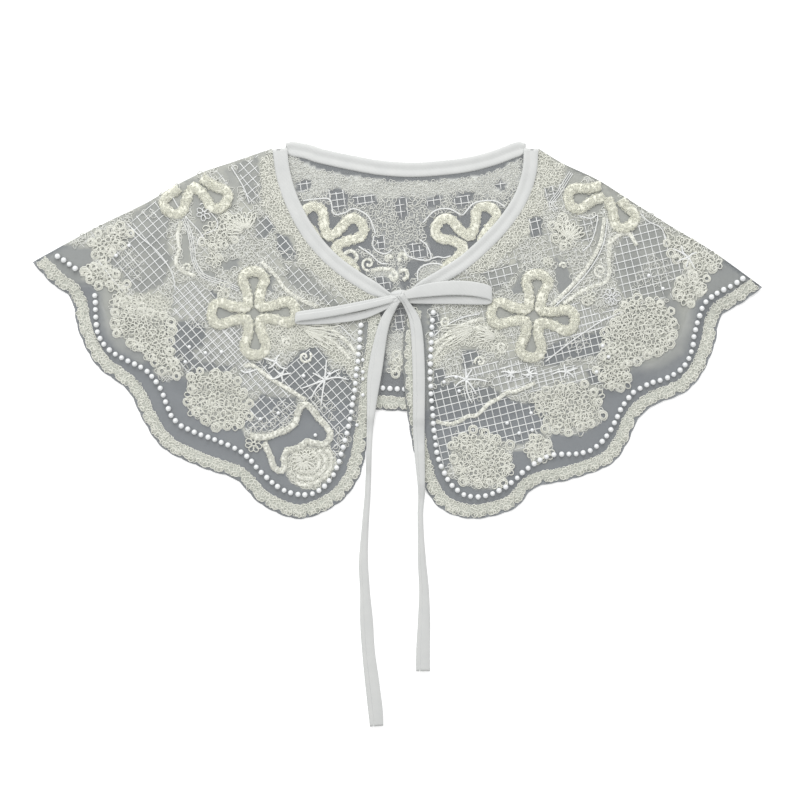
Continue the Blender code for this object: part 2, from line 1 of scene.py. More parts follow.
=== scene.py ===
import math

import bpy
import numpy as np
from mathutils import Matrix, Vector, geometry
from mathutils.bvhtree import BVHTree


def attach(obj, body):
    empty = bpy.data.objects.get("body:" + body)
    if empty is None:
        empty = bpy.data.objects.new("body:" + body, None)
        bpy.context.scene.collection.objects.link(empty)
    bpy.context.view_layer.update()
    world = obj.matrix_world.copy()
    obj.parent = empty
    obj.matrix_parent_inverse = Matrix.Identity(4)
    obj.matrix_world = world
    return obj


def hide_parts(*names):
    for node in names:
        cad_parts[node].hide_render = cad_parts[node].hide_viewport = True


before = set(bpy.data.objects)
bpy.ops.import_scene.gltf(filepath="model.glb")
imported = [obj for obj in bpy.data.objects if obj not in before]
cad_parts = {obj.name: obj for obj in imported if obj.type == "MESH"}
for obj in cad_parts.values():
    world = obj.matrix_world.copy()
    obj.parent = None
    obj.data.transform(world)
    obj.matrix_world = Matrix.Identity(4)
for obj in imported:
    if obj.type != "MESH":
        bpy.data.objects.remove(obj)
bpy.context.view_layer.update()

# Looks of the detachable lace collar: three panels of embroidered organza, their neck binding and
# the bow that its ends tie. Shapes are worked out in millimetres and turned into metres in
# mesh_piece. Motifs are set out on the lace's pattern chart, whose squares are 0.63 mm wide and
# counted right and down; chart() turns its squares into millimetres on the collar.

MM = 0.001
SQUARE = 0.63
CHART_ZERO = (397.5, 433.0)

# Cloth and tape, in mm. The organza falls by FOLD_DROP at the shoulder fold, within FOLD_ROUND of it
ORGANZA = 0.2
TAPE_WIDTH = 9.2
BACK_TAPE_WIDTH = 9.4
FOLD_DROP = 0.8
FOLD_ROUND = 1.8
# How high the organza's middle lies: the back over the table, the fronts over their solid's
# underside, and the fronts at least, in mm
BACK_RISE = 0.5
FRONT_RISE = 0.45
LEAST_RISE = 0.4

# The bound tape's own middle line, where it strays a little from the neck line. Columns: x, y in mm
TAPE_LINES = {
    "left": (
        (-74.0, 178.6), (-71.6, 161.9), (-65.9, 144.6), (-55.2, 124.9), (-41.2, 109.0), (-25.2, 97.0), (-9.0, 87.6),
        (-2.0, 84.6),
    ),
    "right": (
        (84.1, 178.6), (82.8, 163.5), (77.8, 148.4), (68.7, 133.9), (56.4, 120.3), (42.2, 107.7), (28.7, 98.9),
        (9.8, 87.9), (3.0, 85.4),
    ),
    "back": (
        (-70.5, 179.6), (-57.8, 177.4), (-48.2, 174.4), (-29.9, 170.4), (-12.0, 167.2), (6.0, 165.8), (22.0, 166.4),
        (43.3, 168.8), (60.1, 173.0), (75.5, 178.6), (80.5, 178.9),
    ),
}
# Middle lines of the neck binding, shoulder folds, hems and centre fronts. Columns: x, y in mm
NECK = {
    "left": (
        (-74.0, 178.6), (-70.9, 161.9), (-64.3, 144.9), (-53.2, 125.7), (-39.7, 109.9), (-24.3, 97.7), (-7.2, 86.8),
    ),
    "right": (
        (84.1, 178.6), (82.8, 163.5), (77.8, 148.4), (68.7, 133.9), (56.4, 120.3), (42.2, 107.7), (28.7, 98.9),
        (7.8, 87.4),
    ),
    "back": (
        (-70.5, 179.0), (-60.2, 179.6), (-41.3, 172.8), (-21.1, 168.6), (6.0, 166.2), (41.3, 169.6), (62.1, 174.2),
        (77.5, 179.6), (80.5, 178.6),
    ),
}
FOLD = {
    "left": (
        (-79.3, 178.9), (-106.8, 169.5), (-122.5, 164.2), (-142.1, 154.4), (-158.4, 144.6), (-190.0, 129.2),
        (-229.6, 107.6),
    ),
    "right": (
        (88.7, 178.9), (104.3, 169.5), (126.3, 159.1), (149.6, 144.3), (173.6, 129.2), (198.8, 114.0), (229.6, 91.8),
    ),
}
HEM = {
    "left": (
        (-229.6, 107.1), (-217.7, 93.9), (-205.7, 84.4), (-200.7, 63.6), (-189.3, 42.2), (-169.8, 26.5), (-160.3, 8.2),
        (-147.1, -10.1), (-121.3, -22.7), (-101.7, -29.6), (-85.4, -45.4), (-61.4, -54.2), (-37.5, -44.7),
        (-24.9, -29.6),
        (-20.5, -15.8),
    ),
    "right": (
        (229.6, 91.4), (217.0, 81.9), (203.8, 73.1), (200.0, 56.1), (191.8, 37.2), (180.5, 25.2), (162.2, 17.6),
        (151.5, 8.2), (144.6, -6.9), (133.9, -20.2), (108.7, -29.6), (86.6, -34.7), (73.4, -47.9), (48.8, -54.2),
        (29.3, -49.1), (18.6, -37.2), (11.7, -19.5),
    ),
}
CENTRE = {
    "left": ((-20.5, -15.8), (-18.2, -2.0), (-15.4, 15.1), (-12.9, 38.4), (-9.4, 66.8), (-10.8, 80.6)),
    "right": ((11.7, -19.5), (8.5, -3.2), (6.0, 12.6), (3.6, 33.4), (3.6, 58.6), (6.4, 78.4)),
}
# The back's hem as a line through its dips and bellies, from the left tip to the right one
HEM_BACK = (
    (-222.0, 101.5), (-206.0, 93.5), (-190.6, 90.7), (-179.0, 66.0), (-160.0, 47.0), (-151.5, 44.7), (-128.0, 31.5),
    (-106.0, 31.5), (-99.2, 34.7), (-84.0, 23.5), (-56.0, 15.5), (-39.4, 19.5), (-16.0, 14.9), (12.0, 13.9),
    (36.2, 18.3),
    (56.0, 19.0), (84.0, 22.5), (102.4, 33.4), (112.0, 29.0), (136.0, 29.5), (152.8, 42.2), (163.0, 45.0),
    (178.0, 62.0),
    (185.5, 80.6), (202.0, 88.0), (222.0, 93.8),
)

# Raised flowers: the middle, and the way each petal points in degrees. Columns: x, y in mm, petals
FLOWERS = {
    "left": ((-90.4, 75.4, (90, 2, -87, 181)), (-128.5, 160.6, (-125, -40))),
    "right": ((85.3, 73.8, (83, -8, -94, 176)), (132.9, 153.0, (196, -62))),
    "back": ((-45.0, 117.8, (114, 32, -56, 206)), (47.6, 118.0, (149, 66, -26, 236))),
}
# A petal's middle line. Columns: distance out, half width in mm
PETAL = ((4.2, 3.6), (9.5, 3.7), (14.5, 4.7), (19.5, 6.7), (23.4, 6.3), (25.8, 3.4))
PETAL_TIP = 26.4
# The flower cord's width and height in mm. The back's flowers lie pressed under the fronts
CORD_WIDTH = 7.1
CORD_TOP = {"left": 2.1, "right": 2.1, "back": 1.15}

# No stitches this near the middle of the bound edge's tape, which covers them
HIDDEN_BY_TAPE = 3.3

# The back's edge along the neck, from fold to fold, in squares
BACK_TOP = (
    (284, 151), (292, 156), (306, 164), (321, 170.2), (350, 176.4), (396, 182), (430, 181.5), (470, 178), (497, 171),
    (521, 158.5),
)
# Areas of the chart, in squares, as outlines. motif is all that is embroidered, net is the square
# mesh, grid the net half hidden by a second one, dense the close vermicelli, cluster the looped
# flowerlets, and bare is left as organza.
AREAS = {
    "left": {
        "motif": (
            ((60, 244), (84, 248), (92, 250), (96, 257), (94, 262), (99, 269), (84, 268), (83, 278), (93, 284),
             (108, 284),
             (125, 294), (118, 298), (112, 306), (113, 318), (116, 328), (124, 338), (133, 347), (146, 354),
             (156, 354), (158, 362), (154, 371), (160, 377), (168, 383), (175, 375), (190, 375), (189, 386),
             (195, 396), (189, 404), (195, 414), (206, 424), (216, 430), (228, 430), (236, 424), (243, 428),
             (246, 436), (254, 440), (262, 436), (290, 428), (299, 412), (306, 402), (313, 408), (318, 413),
             (330, 425), (331, 436), (322, 446), (304, 443), (299, 450), (288, 452), (286, 462), (285, 470),
             (292, 480), (304, 489), (318, 488), (331, 476), (338, 466), (346, 450), (352, 432), (357, 410),
             (360, 385), (362, 360), (362, 330), (368, 310), (376, 300), (350, 270), (320, 238), (300, 205),
             (288, 170), (288, 138), (262, 140), (225, 150), (200, 160), (175, 172), (140, 192), (110, 208)),
        ),
        "net": (
            ((165, 322), (194, 318), (205, 327), (222, 345), (234, 355), (236, 366), (228, 373), (213, 372), (190, 376),
             (183, 372), (176, 360), (168, 342)),
            ((231, 327), (242, 327), (245, 345), (236, 350)),
            ((199, 292), (208, 287), (220, 294), (215, 308), (203, 312)),
            ((282, 262), (300, 268), (312, 275), (322, 290), (340, 303), (338, 311), (322, 303), (305, 293),
             (290, 283)),
            ((300, 350), (318, 346), (326, 355), (330, 370), (345, 370), (352, 380), (357, 395), (352, 430), (344, 452),
             (336, 464), (330, 444), (322, 425), (316, 408), (302, 398), (290, 392), (272, 380), (258, 370), (256, 360),
             (268, 360), (280, 368), (290, 362)),
            ((262, 393), (275, 396), (296, 398), (300, 408), (290, 424), (270, 432), (252, 432), (243, 426),
             (246, 412), (254, 402)),
            ((236, 163), (258, 158), (262, 180), (262, 205), (248, 205), (240, 185)),
            ((255, 218), (270, 215), (275, 228), (266, 240), (254, 238)),
            ((125, 240), (135, 212), (160, 200), (172, 214), (168, 240), (172, 262), (165, 285), (140, 295), (127, 290),
             (122, 272), (104, 262), (110, 254)),
            ((276, 232), (290, 236), (300, 262), (286, 262), (276, 250)),
        ),
        "dense": (
            ((262, 157), (288, 150), (294, 170), (302, 195), (318, 225), (342, 255), (378, 285), (382, 300), (350, 302),
             (330, 283), (300, 262), (280, 235), (263, 205), (258, 180)),
            ((118, 298), (160, 294), (172, 300), (168, 318), (130, 318)),
            ((268, 316), (300, 322), (330, 335), (350, 352), (358, 366), (350, 372), (335, 360), (318, 345), (296, 350),
             (280, 352), (262, 345)),
            ((285, 462), (290, 453), (304, 446), (322, 447), (330, 444), (336, 462), (330, 477), (318, 488), (304, 489),
             (292, 481), (286, 471)),
        ),
        "cluster": (
            ((90, 243), (120, 224), (130, 232), (126, 245), (112, 256), (103, 263), (96, 256)),
            ((84, 270), (100, 268), (118, 272), (128, 292), (108, 285), (92, 284)),
            ((118, 300), (140, 304), (160, 318), (178, 322), (168, 340), (176, 360), (176, 374), (160, 372), (150, 352),
             (134, 347), (120, 334), (113, 318)),
            ((190, 376), (212, 372), (228, 375), (244, 390), (252, 402), (244, 424), (228, 428), (206, 424), (195, 412),
             (190, 400)),
            ((206, 218), (224, 212), (236, 226), (230, 246), (214, 250), (202, 240)),
        ),
        "grid": (
            ((172, 284), (196, 279), (204, 284), (214, 300), (232, 304), (236, 320), (205, 324), (172, 318)),
            ((207, 328), (236, 326), (236, 350), (240, 368), (214, 364), (197, 360), (193, 352), (203, 345)),
            ((210, 322), (236, 322), (246, 345), (256, 368), (262, 390), (243, 394), (238, 372), (232, 350)),
            ((250, 364), (262, 370), (282, 384), (300, 399), (280, 398), (262, 394)),
        ),
        "bare": (
            ((193, 195), (203, 192), (210, 200), (219, 214), (216, 224), (204, 234), (196, 232), (192, 210)),
            ((224, 168), (236, 170), (240, 190), (236, 208), (226, 212), (232, 195)),
            ((182, 232), (190, 232), (192, 262), (190, 272), (183, 268), (180, 250)),
            ((218, 262), (238, 258), (240, 266), (226, 271)),
            ((203, 268), (214, 271), (222, 278), (204, 279)),
            ((266, 270), (274, 276), (274, 292), (266, 292)),
        ),
    },
    "right": {
        "motif": (
            ((722, 262), (716, 268), (708, 274), (700, 280), (704, 290), (698, 298), (690, 304), (680, 298), (671, 299),
             (662, 302), (668, 312), (675, 325), (674, 340), (660, 354), (645, 360), (626, 368), (630, 380),
             (618, 392), (606, 386), (592, 390), (600, 402), (602, 418), (596, 426), (578, 434), (560, 434),
             (552, 431), (549, 443), (551, 452), (540, 462), (529, 457), (528, 450), (512, 450), (512, 466),
             (503, 482), (494, 488), (475, 488), (459, 481), (446, 474), (440, 464), (434, 438), (431, 413),
             (430, 372), (428, 345), (428, 312), (440, 290), (470, 262), (500, 235), (520, 205), (527, 170),
             (526, 138), (562, 144), (600, 160), (630, 176), (670, 202), (710, 228), (736, 252)),
        ),
        "net": (
            ((480, 274), (490, 270), (505, 264), (520, 262), (519, 270), (508, 282), (497, 292), (489, 290),
             (487, 281)),
            ((580, 218), (590, 219), (597, 216), (595, 232), (590, 243), (583, 243), (577, 238)),
            ((543, 189), (553, 185), (559, 188), (558, 201), (546, 204)),
            ((528, 218), (542, 216), (543, 236), (530, 240)),
            ((614, 247), (622, 238), (640, 222), (652, 218), (664, 232), (667, 245), (672, 258), (684, 262), (686, 270),
             (676, 283), (668, 296), (655, 302), (640, 305), (625, 300), (618, 290), (612, 275), (612, 262)),
            ((541, 352), (560, 338), (585, 330), (604, 325), (616, 330), (612, 345), (604, 352), (590, 358), (570, 358),
             (555, 366), (543, 366)),
            ((583, 369), (602, 366), (602, 384), (590, 386)),
            ((461, 351), (479, 350), (480, 366), (462, 369)),
            ((433, 370), (445, 367), (446, 382), (434, 385)),
            ((430, 388), (450, 382), (470, 386), (491, 386), (505, 396), (520, 402), (540, 402), (547, 410), (547, 424),
             (541, 437), (528, 442), (512, 447), (500, 440), (470, 434), (452, 440), (450, 470), (440, 466),
             (434, 440)),
            ((429, 312), (440, 312), (438, 338), (430, 336)),
        ),
        "dense": (
            ((528, 150), (562, 156), (566, 172), (548, 200), (538, 225), (514, 250), (497, 262), (480, 274), (468, 270),
             (466, 264), (490, 240), (510, 215), (522, 190), (528, 170)),
            ((430, 350), (444, 336), (466, 326), (490, 322), (502, 330), (508, 345), (500, 356), (488, 350), (470, 346),
             (452, 350), (434, 368)),
            ((440, 296), (466, 292), (488, 296), (480, 306), (440, 304)),
        ),
        "cluster": (
            ((664, 230), (690, 241), (718, 262), (708, 274), (697, 280), (690, 270), (684, 262), (672, 258),
             (666, 246)),
            ((678, 280), (692, 276), (703, 288), (696, 300), (686, 302), (672, 297)),
            ((625, 303), (640, 300), (662, 303), (675, 325), (672, 340), (657, 354), (640, 356), (626, 366), (628, 380),
             (616, 390), (604, 384), (596, 372), (602, 352), (606, 335), (615, 318)),
            ((536, 398), (556, 388), (580, 384), (596, 392), (600, 404), (600, 418), (590, 426), (572, 430), (556, 430),
             (546, 420), (540, 408)),
            ((462, 436), (484, 430), (506, 442), (510, 466), (500, 482), (480, 486), (462, 478), (452, 462),
             (454, 446)),
            ((532, 436), (546, 432), (550, 450), (540, 460), (530, 454)),
            ((552, 226), (564, 220), (572, 232), (570, 246), (556, 244)),
        ),
        "grid": (
            ((541, 322), (552, 300), (572, 300), (590, 306), (600, 314), (612, 306), (622, 304), (612, 322), (598, 332),
             (560, 340), (545, 350)),
            ((497, 366), (515, 358), (541, 366), (583, 364), (590, 384), (556, 388), (536, 392), (505, 396),
             (490, 384)),
            ((461, 368), (480, 366), (500, 356), (500, 372), (478, 380), (462, 380)),
        ),
        "bare": (
            ((555, 258), (566, 262), (574, 280), (572, 292), (560, 296), (554, 280)),
            ((518, 274), (526, 268), (526, 290), (516, 296), (510, 292)),
            ((597, 219), (606, 222), (604, 240), (600, 258), (588, 276), (584, 272), (594, 252)),
            ((565, 168), (590, 172), (580, 182), (566, 196), (562, 190)),
            ((588, 196), (604, 198), (600, 214), (586, 214)),
        ),
    },
    "back": {
        "motif": (
            (*BACK_TOP, (522, 190), (512, 215), (480, 250), (446, 290), (410, 310), (412, 372), (384, 372),
             (386, 312), (350, 282), (310, 240), (286, 200)),
            ((60, 258), (110, 226), (200, 182), (286, 150), (300, 215), (340, 262), (390, 310), (386, 372), (330, 370),
             (288, 360), (262, 352), (240, 350), (214, 336), (180, 330), (156, 332), (132, 312), (112, 282), (84, 274)),
            ((726, 264), (690, 240), (620, 192), (528, 150), (510, 215), (462, 262), (410, 310), (412, 372), (460, 372),
             (496, 356), (540, 356), (560, 344), (590, 340), (624, 350), (650, 326), (668, 298), (690, 284),
             (716, 280)),
        ),
        "net": (
            ((296, 184), (303, 180), (312, 179), (311, 190), (300, 193), (296, 191)),
            ((327, 190), (340, 187), (349, 196), (349, 206), (344, 211), (338, 213), (333, 211), (330, 200)),
            ((351, 196), (366, 194), (376, 195), (380, 204), (362, 206), (352, 204)),
            ((394, 202), (403, 196), (409, 200), (409, 218), (397, 219)),
            ((423, 203), (436, 195), (443, 194), (442, 206), (426, 208)),
            ((452, 200), (466, 191), (475, 192), (473, 202), (465, 209), (454, 206)),
            ((495, 185), (500, 180), (507, 183), (506, 191), (496, 190)),
            ((407, 243), (421, 241), (427, 247), (431, 258), (420, 260), (410, 256)),
            ((375, 236), (386, 235), (386, 252), (376, 249)),
            ((373, 277), (384, 275), (394, 286), (388, 292), (376, 289)),
            ((394, 306), (406, 306), (406, 332), (394, 332)),
        ),
        "dense": (
            (*BACK_TOP, (520, 178), (508, 196), (478, 194), (460, 190), (444, 196), (420, 198), (396, 196),
             (380, 200), (350, 194), (330, 190), (310, 198), (288, 192)),
            ((384, 334), (410, 334), (410, 366), (384, 366)),
            ((418, 272), (426, 266), (438, 265), (446, 270), (440, 282), (420, 288)),
            ((372, 270), (388, 268), (402, 271), (398, 276), (374, 276)),
        ),
        "cluster": (
            ((384, 358), (410, 358), (410, 372), (384, 372)),
        ),
        "grid": (),
        "bare": (
            ((300, 205), (306, 203), (328, 203), (334, 216), (346, 215), (352, 211), (366, 220), (373, 234), (372, 250),
             (350, 250), (350, 262), (326, 252), (306, 226)),
            ((424, 226), (434, 214), (450, 211), (461, 217), (476, 206), (494, 203), (508, 212), (500, 228), (476, 252),
             (456, 262), (432, 262), (428, 242), (424, 240)),
            ((350, 252), (376, 262), (386, 268), (372, 270), (360, 278), (350, 270)),
            ((406, 262), (430, 262), (418, 272), (404, 296), (400, 282), (404, 272)),
            ((374, 306), (386, 306), (386, 372), (376, 372)),
        ),
    },
}

# The way the net runs, in degrees, and its pitch in mm
NET = {"left": (40.0, 4.75), "right": (14.0, 4.7), "back": (8.0, 4.3)}

# Cords and threads laid as drawn lines, in chart squares. Columns: panel, kind, points
LINES = (
    ("left", "cord", (
        (250.4, 436), (264.4, 437.4), (278, 433), (288.7, 428.5), (296, 422), (298.9, 410), (306.5, 404), (318, 417),
        (327, 427), (330.8, 436), (324.4, 443.8), (314, 443), (306.5, 441), (301.4, 446.3), (290, 450), (284.8, 455),
        (283.6, 470), (274.6, 468), (270.8, 456.5), (264.4, 443),
    )),
    ("left", "stem", ((326, 449), (331, 456), (331, 466), (325, 476), (315, 483), (302, 485), (292, 480))),
    ("left", "stem", ((319, 450), (325, 458), (325, 467), (318, 475), (307, 479), (297, 476))),
    ("left", "stem", ((312, 451), (319, 459), (318, 467), (310, 472), (300, 471))),
    ("left", "stem", ((284, 455), (288, 448), (294, 452), (298, 458))),
    ("left", "twin", ((184, 218), (190, 232), (193, 248), (195, 262), (204, 276), (226, 284), (240, 290))),
    ("left", "stem", ((182, 222), (178, 236), (180, 250), (176, 262), (184, 272), (196, 276))),
    ("left", "stem", ((285, 322), (305, 326), (325, 336), (340, 348), (352, 362))),
    ("left", "stem", ((292, 318), (312, 320), (332, 330), (348, 343), (358, 356))),
    ("left", "thread", ((298, 313), (320, 316), (340, 326), (356, 342))),
    ("left", "thread", ((172, 196), (182, 212), (200, 232), (205, 240))),
    ("left", "thread", ((128, 224), (142, 238), (158, 252), (172, 272), (176, 290))),
    ("left", "thread", ((100, 262), (112, 278), (124, 292))),
    ("left", "thread", (
        (200, 206), (204, 204), (212, 214), (218, 222), (216, 230), (206, 234), (199, 240), (198, 246),
    )),
    ("left", "thread", ((232, 168), (244, 188), (250, 204))),
    ("left", "stem", ((262, 262), (276, 276), (286, 290), (302, 300), (320, 308))),
    ("left", "stem", ((244, 366), (254, 366), (270, 378), (290, 390), (306, 400))),
    ("right", "stem", ((604, 218), (600, 243), (589, 264), (571, 286), (547, 309))),
    ("right", "thread", ((607, 220), (603, 244), (592, 266), (574, 288), (550, 311))),
    ("right", "stem", ((610, 238), (608, 255), (609, 272), (604, 283), (586, 289), (563, 304))),
    ("right", "twin", ((571, 173), (564, 184), (558, 194), (551, 204), (556, 212))),
    ("right", "stem", ((489, 329), (474, 328), (458, 333), (444, 345), (430, 361))),
    ("right", "stem", ((484, 319), (468, 323), (452, 331), (440, 340), (430, 347))),
    ("right", "thread", ((480, 314), (462, 318), (446, 326), (432, 338))),
    ("right", "stem", (
        (436, 421), (447, 424), (458, 422), (468, 416), (477, 415), (488, 404), (496, 400), (508, 392), (517, 391),
        (535, 383),
    )),
    ("right", "thread", ((545, 362), (560, 350), (576, 338), (600, 322), (622, 312))),
    ("right", "thread", ((577, 216), (590, 219), (597, 216), (595, 230), (590, 244), (582, 252))),
    ("right", "thread", ((640, 214), (648, 222), (660, 228), (666, 240))),
    ("right", "stem", ((636, 246), (628, 234), (618, 236), (610, 244), (609, 262))),
    ("back", "edge", (
        (303, 201), (318, 199), (330, 200), (334, 214), (345, 213), (353, 209), (362, 212), (370, 219), (376, 235),
    )),
    ("back", "edge", ((423, 223), (435, 211), (449, 209), (461, 215), (465, 213), (475, 203), (494, 201), (506, 208))),
    ("back", "edge", ((358.7, 246.6), (370, 254), (380, 263), (388, 264))),
    ("back", "edge", ((374, 236), (373, 246), (378, 252), (386, 254), (392, 250))),
    ("back", "edge", ((404, 249), (408, 256), (420, 260), (431, 259), (427, 246), (420, 240))),
    ("back", "edge", ((431, 259), (438, 257), (444, 258), (451, 256))),
    ("back", "stem", ((388, 262), (385, 258), (389, 254), (393, 258), (391, 263))),
    ("back", "stem", ((400, 262), (398, 257), (403, 253), (407, 258), (404, 263))),
    ("back", "stem", ((371, 272), (380, 269), (392, 270), (397, 276), (393, 281), (390, 275))),
    ("back", "stem", ((399, 271), (404, 269), (408, 274), (405, 281), (401, 278))),
    ("back", "edge", ((418, 282), (418, 271), (426, 265), (438, 264), (446, 268))),
    ("back", "stem", ((344, 262), (344, 255), (351, 251), (357, 256), (355, 262), (349, 264))),
)

# Spirals. Columns: panel, x, y, radius in squares, turn in degrees
SPIRALS = (
    ("left", 288, 342, 6, 40), ("left", 305, 357, 7, 200), ("left", 188, 268, 6, 90),
    ("left", 225, 295, 7, 10), ("left", 220, 258, 5, 60), ("left", 88, 275, 6, 0), ("right", 600, 271, 7, 90),
    ("right", 586, 300, 7, 200), ("right", 548, 262, 5, 20), ("right", 502, 347, 6, 120), ("right", 563, 266, 4, 0),
    ("right", 446, 322, 6, 90), ("right", 480, 362, 6, 0), ("right", 708, 268, 5, 10), ("right", 690, 302, 5, 100),
    ("right", 701, 290, 5, 200), ("back", 368.5, 264, 7.5, 80),
)

# White sprays: threads that fan out from a middle. Columns: panel, x, y, arms as (turn, length)
SPRAYS = (
    ("left", 325, 380, ((85, 20), (35, 18), (0, 24), (200, 26), (235, 24), (262, 26), (150, 14))),
    ("left", 276, 362, ((60, 8), (160, 22), (220, 10), (330, 14))),
    ("right", 466, 380, ((95, 16), (60, 12), (-5, 22), (175, 22), (-75, 24), (-55, 18), (215, 14))),
    ("right", 510.6, 374, ((10, 9), (82, 7), (170, 10), (216, 5), (262, 8), (320, 5), (40, 5), (128, 5))),
    ("right", 529.7, 374, ((0, 8), (85, 8), (180, 8), (268, 8), (45, 5), (135, 5), (222, 5), (315, 5))),
    ("right", 566, 372, ((20, 12), (100, 8), (190, 14), (255, 7), (320, 10))),
    ("right", 688, 258, ((30, 10), (120, 14), (150, 18), (200, 12), (300, 14), (255, 10))),
    ("left", 282, 375, ((10, 10), (70, 8), (140, 9), (200, 12), (280, 8))),
    ("left", 250, 372, ((20, 8), (170, 9), (300, 7))),
)

# Rosettes of petal loops. Columns: panel, x, y in squares, reach in mm, petals, thread
ROSETTES = (
    ("right", 611, 297.4, 5.4, 8, "white"), ("right", 588.4, 297.4, 4.8, 7, "cream"),
    ("right", 548, 262, 3.4, 6, "cream"),
    ("left", 224, 291, 4.8, 7, "cream"), ("left", 215, 260.5, 5.4, 8, "cream"), ("left", 204, 214, 4.6, 6, "white"),
    ("left", 254, 444, 5.0, 7, "cream"), ("right", 482, 458, 5.6, 8, "cream"),
)

# Leaves filled with fans of long stitches. Columns: panel, x, y in squares, first and last turn, number, reaches in mm
FANS = (
    ("left", 304, 461, 150, 330, 9, (8.0, 5.0)), ("left", 306, 460, 20, 150, 6, (6.5, 4.0)),
    ("right", 478, 328, 176, 214, 5, (24.0, 15.0)), ("right", 498, 338, 150, 190, 5, (14.0, 9.0)),
    ("left", 300, 328, -32, 2, 5, (26.0, 17.0)),
    ("left", 246, 232, 60, 180, 8, (13.0, 9.0)), ("right", 567, 240, 20, 120, 7, (12.0, 8.0)),
)

# Small beads off the pearl rows. Columns: panel, x, y in squares
BEADS = (
    ("left", 260.6, 419), ("left", 278.5, 413), ("left", 315.5, 435), ("left", 206, 353), ("left", 190, 347),
    ("left", 222, 352), ("left", 186, 362), ("left", 130, 246), ("left", 117, 256), ("left", 330, 374),
    ("left", 304, 376),
    ("left", 363, 360), ("left", 363, 372), ("left", 363, 379), ("left", 363, 395), ("left", 357, 425),
    ("right", 648, 276), ("right", 662, 289), ("right", 531, 413), ("right", 507, 423), ("right", 519, 433),
    ("right", 532, 430), ("right", 608, 357), ("right", 596, 372), ("right", 602, 346), ("right", 456, 377),
    ("right", 444, 382), ("right", 459, 391), ("back", 393, 303),
)

# Ties: the middle of the tape and its width. Columns: x, y, width in mm
TAILS = {
    "left": (
        (-2.6, 79.4, 4.6), (-8.8, 66.8, 7.0), (-14.2, 38.4, 8.8), (-16.4, 15.1, 5.7), (-17.6, -4.4, 3.8),
        (-18.6, -35.3, 3.6),
        (-20.2, -57.3, 4.4), (-21.4, -80.0, 5.7), (-20.5, -98.9, 6.3), (-19.5, -117.8, 8.0), (-18.3, -136.7, 8.2),
        (-16.1, -155.6, 8.8), (-13.9, -174.5, 9.2), (-13.1, -184.5, 8.6),
    ),
    "right": (
        (6.4, 79.8, 4.6), (11.5, 67.8, 7.4), (13.4, 38.4, 7.8), (13.5, -0.6, 7.4), (15.1, -35.3, 4.4),
        (14.4, -52.0, 3.6),
        (15.4, -80.0, 5.0), (16.7, -98.9, 6.3), (16.7, -117.8, 7.6), (16.1, -136.7, 8.8), (16.1, -149.9, 8.8),
    ),
}
# Where each tail leaves the knot. Columns as above
TAIL_STARTS = {"left": (1.0, 84.0, 3.6), "right": (1.6, 86.6, 4.0)}
# How far the right tail rises over the knot before it falls, in mm
TAIL_RISE = {"left": 0.0, "right": 1.7}
# Bow loops: the middle of the tape as it leaves the knot, turns at the tip and comes back.
# Columns: x, y, z, width in mm
LOOPS = {
    "left": (
        (-3.0, 81.6, 4.4, 4.0), (-20.0, 74.6, 4.0, 5.2), (-38.0, 71.6, 3.9, 5.2), (-54.0, 70.7, 4.1, 5.2),
        (-61.5, 71.0, 4.4, 5.6),
        (-64.0, 72.0, 5.1, 6.2), (-61.5, 73.3, 5.9, 6.4), (-52.0, 74.6, 6.0, 6.4), (-38.0, 76.8, 6.0, 6.2),
        (-20.0, 80.4, 6.1, 6.0),
        (-3.0, 84.4, 6.0, 4.8),
    ),
    "right": (
        (4.0, 83.6, 4.0, 4.2), (17.3, 84.2, 3.9, 6.2), (33.1, 84.8, 3.9, 7.8), (47.0, 84.5, 4.1, 7.8),
        (56.5, 84.4, 4.5, 7.4),
        (59.0, 86.3, 5.2, 8.6), (56.5, 88.6, 5.9, 9.0), (46.0, 90.6, 6.0, 9.2), (33.1, 91.0, 6.1, 9.2),
        (17.3, 89.4, 6.2, 8.2),
        (4.0, 86.4, 6.0, 5.0),
    ),
}
# The knot: its middle and size in mm, and its turn in degrees
KNOT_MIDDLE = (0.3, 85.3, 4.5)
KNOT_SIZE = (13.6, 8.4, 5.0)
KNOT_TURN = 16
# The creases that pull into the knot, on a unit ball. Columns: depth, x share, y share, shift, width
KNOT_CREASES = (
    (0.16, 1.0, -0.45, -0.3, 0.09), (0.13, 1.0, -0.3, 0.38, 0.08), (0.09, 0.5, 1.0, -0.3, 0.09),
    (0.07, 0.4, 1.0, 0.35, 0.1),
)


def chart(rows):
    """Chart squares turned into mm on the collar."""
    rows = np.asarray(rows, float)
    return np.stack([(rows[..., 0] - CHART_ZERO[0]) * SQUARE, (CHART_ZERO[1] - rows[..., 1]) * SQUARE], -1)


def smooth_line(stations, step):
    """A smooth curve through the stations, with a point about every step mm."""
    knots = np.array(stations, float)
    ends = np.vstack([2 * knots[0] - knots[1], knots, 2 * knots[-1] - knots[-2]])
    points = []
    for i in range(len(knots) - 1):
        p0, p1, p2, p3 = ends[i : i + 4]
        count = max(1, round(np.linalg.norm((p2 - p1)[:2]) / step))
        t = (np.arange(count) / count)[:, None]
        bend = (2 * p0 - 5 * p1 + 4 * p2 - p3) * t**2 + (3 * p1 - p0 - 3 * p2 + p3) * t**3
        points.append(0.5 * (2 * p1 + (p2 - p0) * t + bend))
    return np.vstack([*points, knots[-1:]])


def rows_of(table, panel):
    """The rows of a table that are this panel's, without their first column."""
    return [row[1:] for row in table if row[0] == panel.side]


def hem_line(side):
    """A panel's hem, with the centre edge after it on a front."""
    if side == "back":
        return smooth_line(HEM_BACK, 2.0)
    return np.vstack([smooth_line(HEM[side], 2.0), smooth_line(CENTRE[side], 2.0)[1:]])


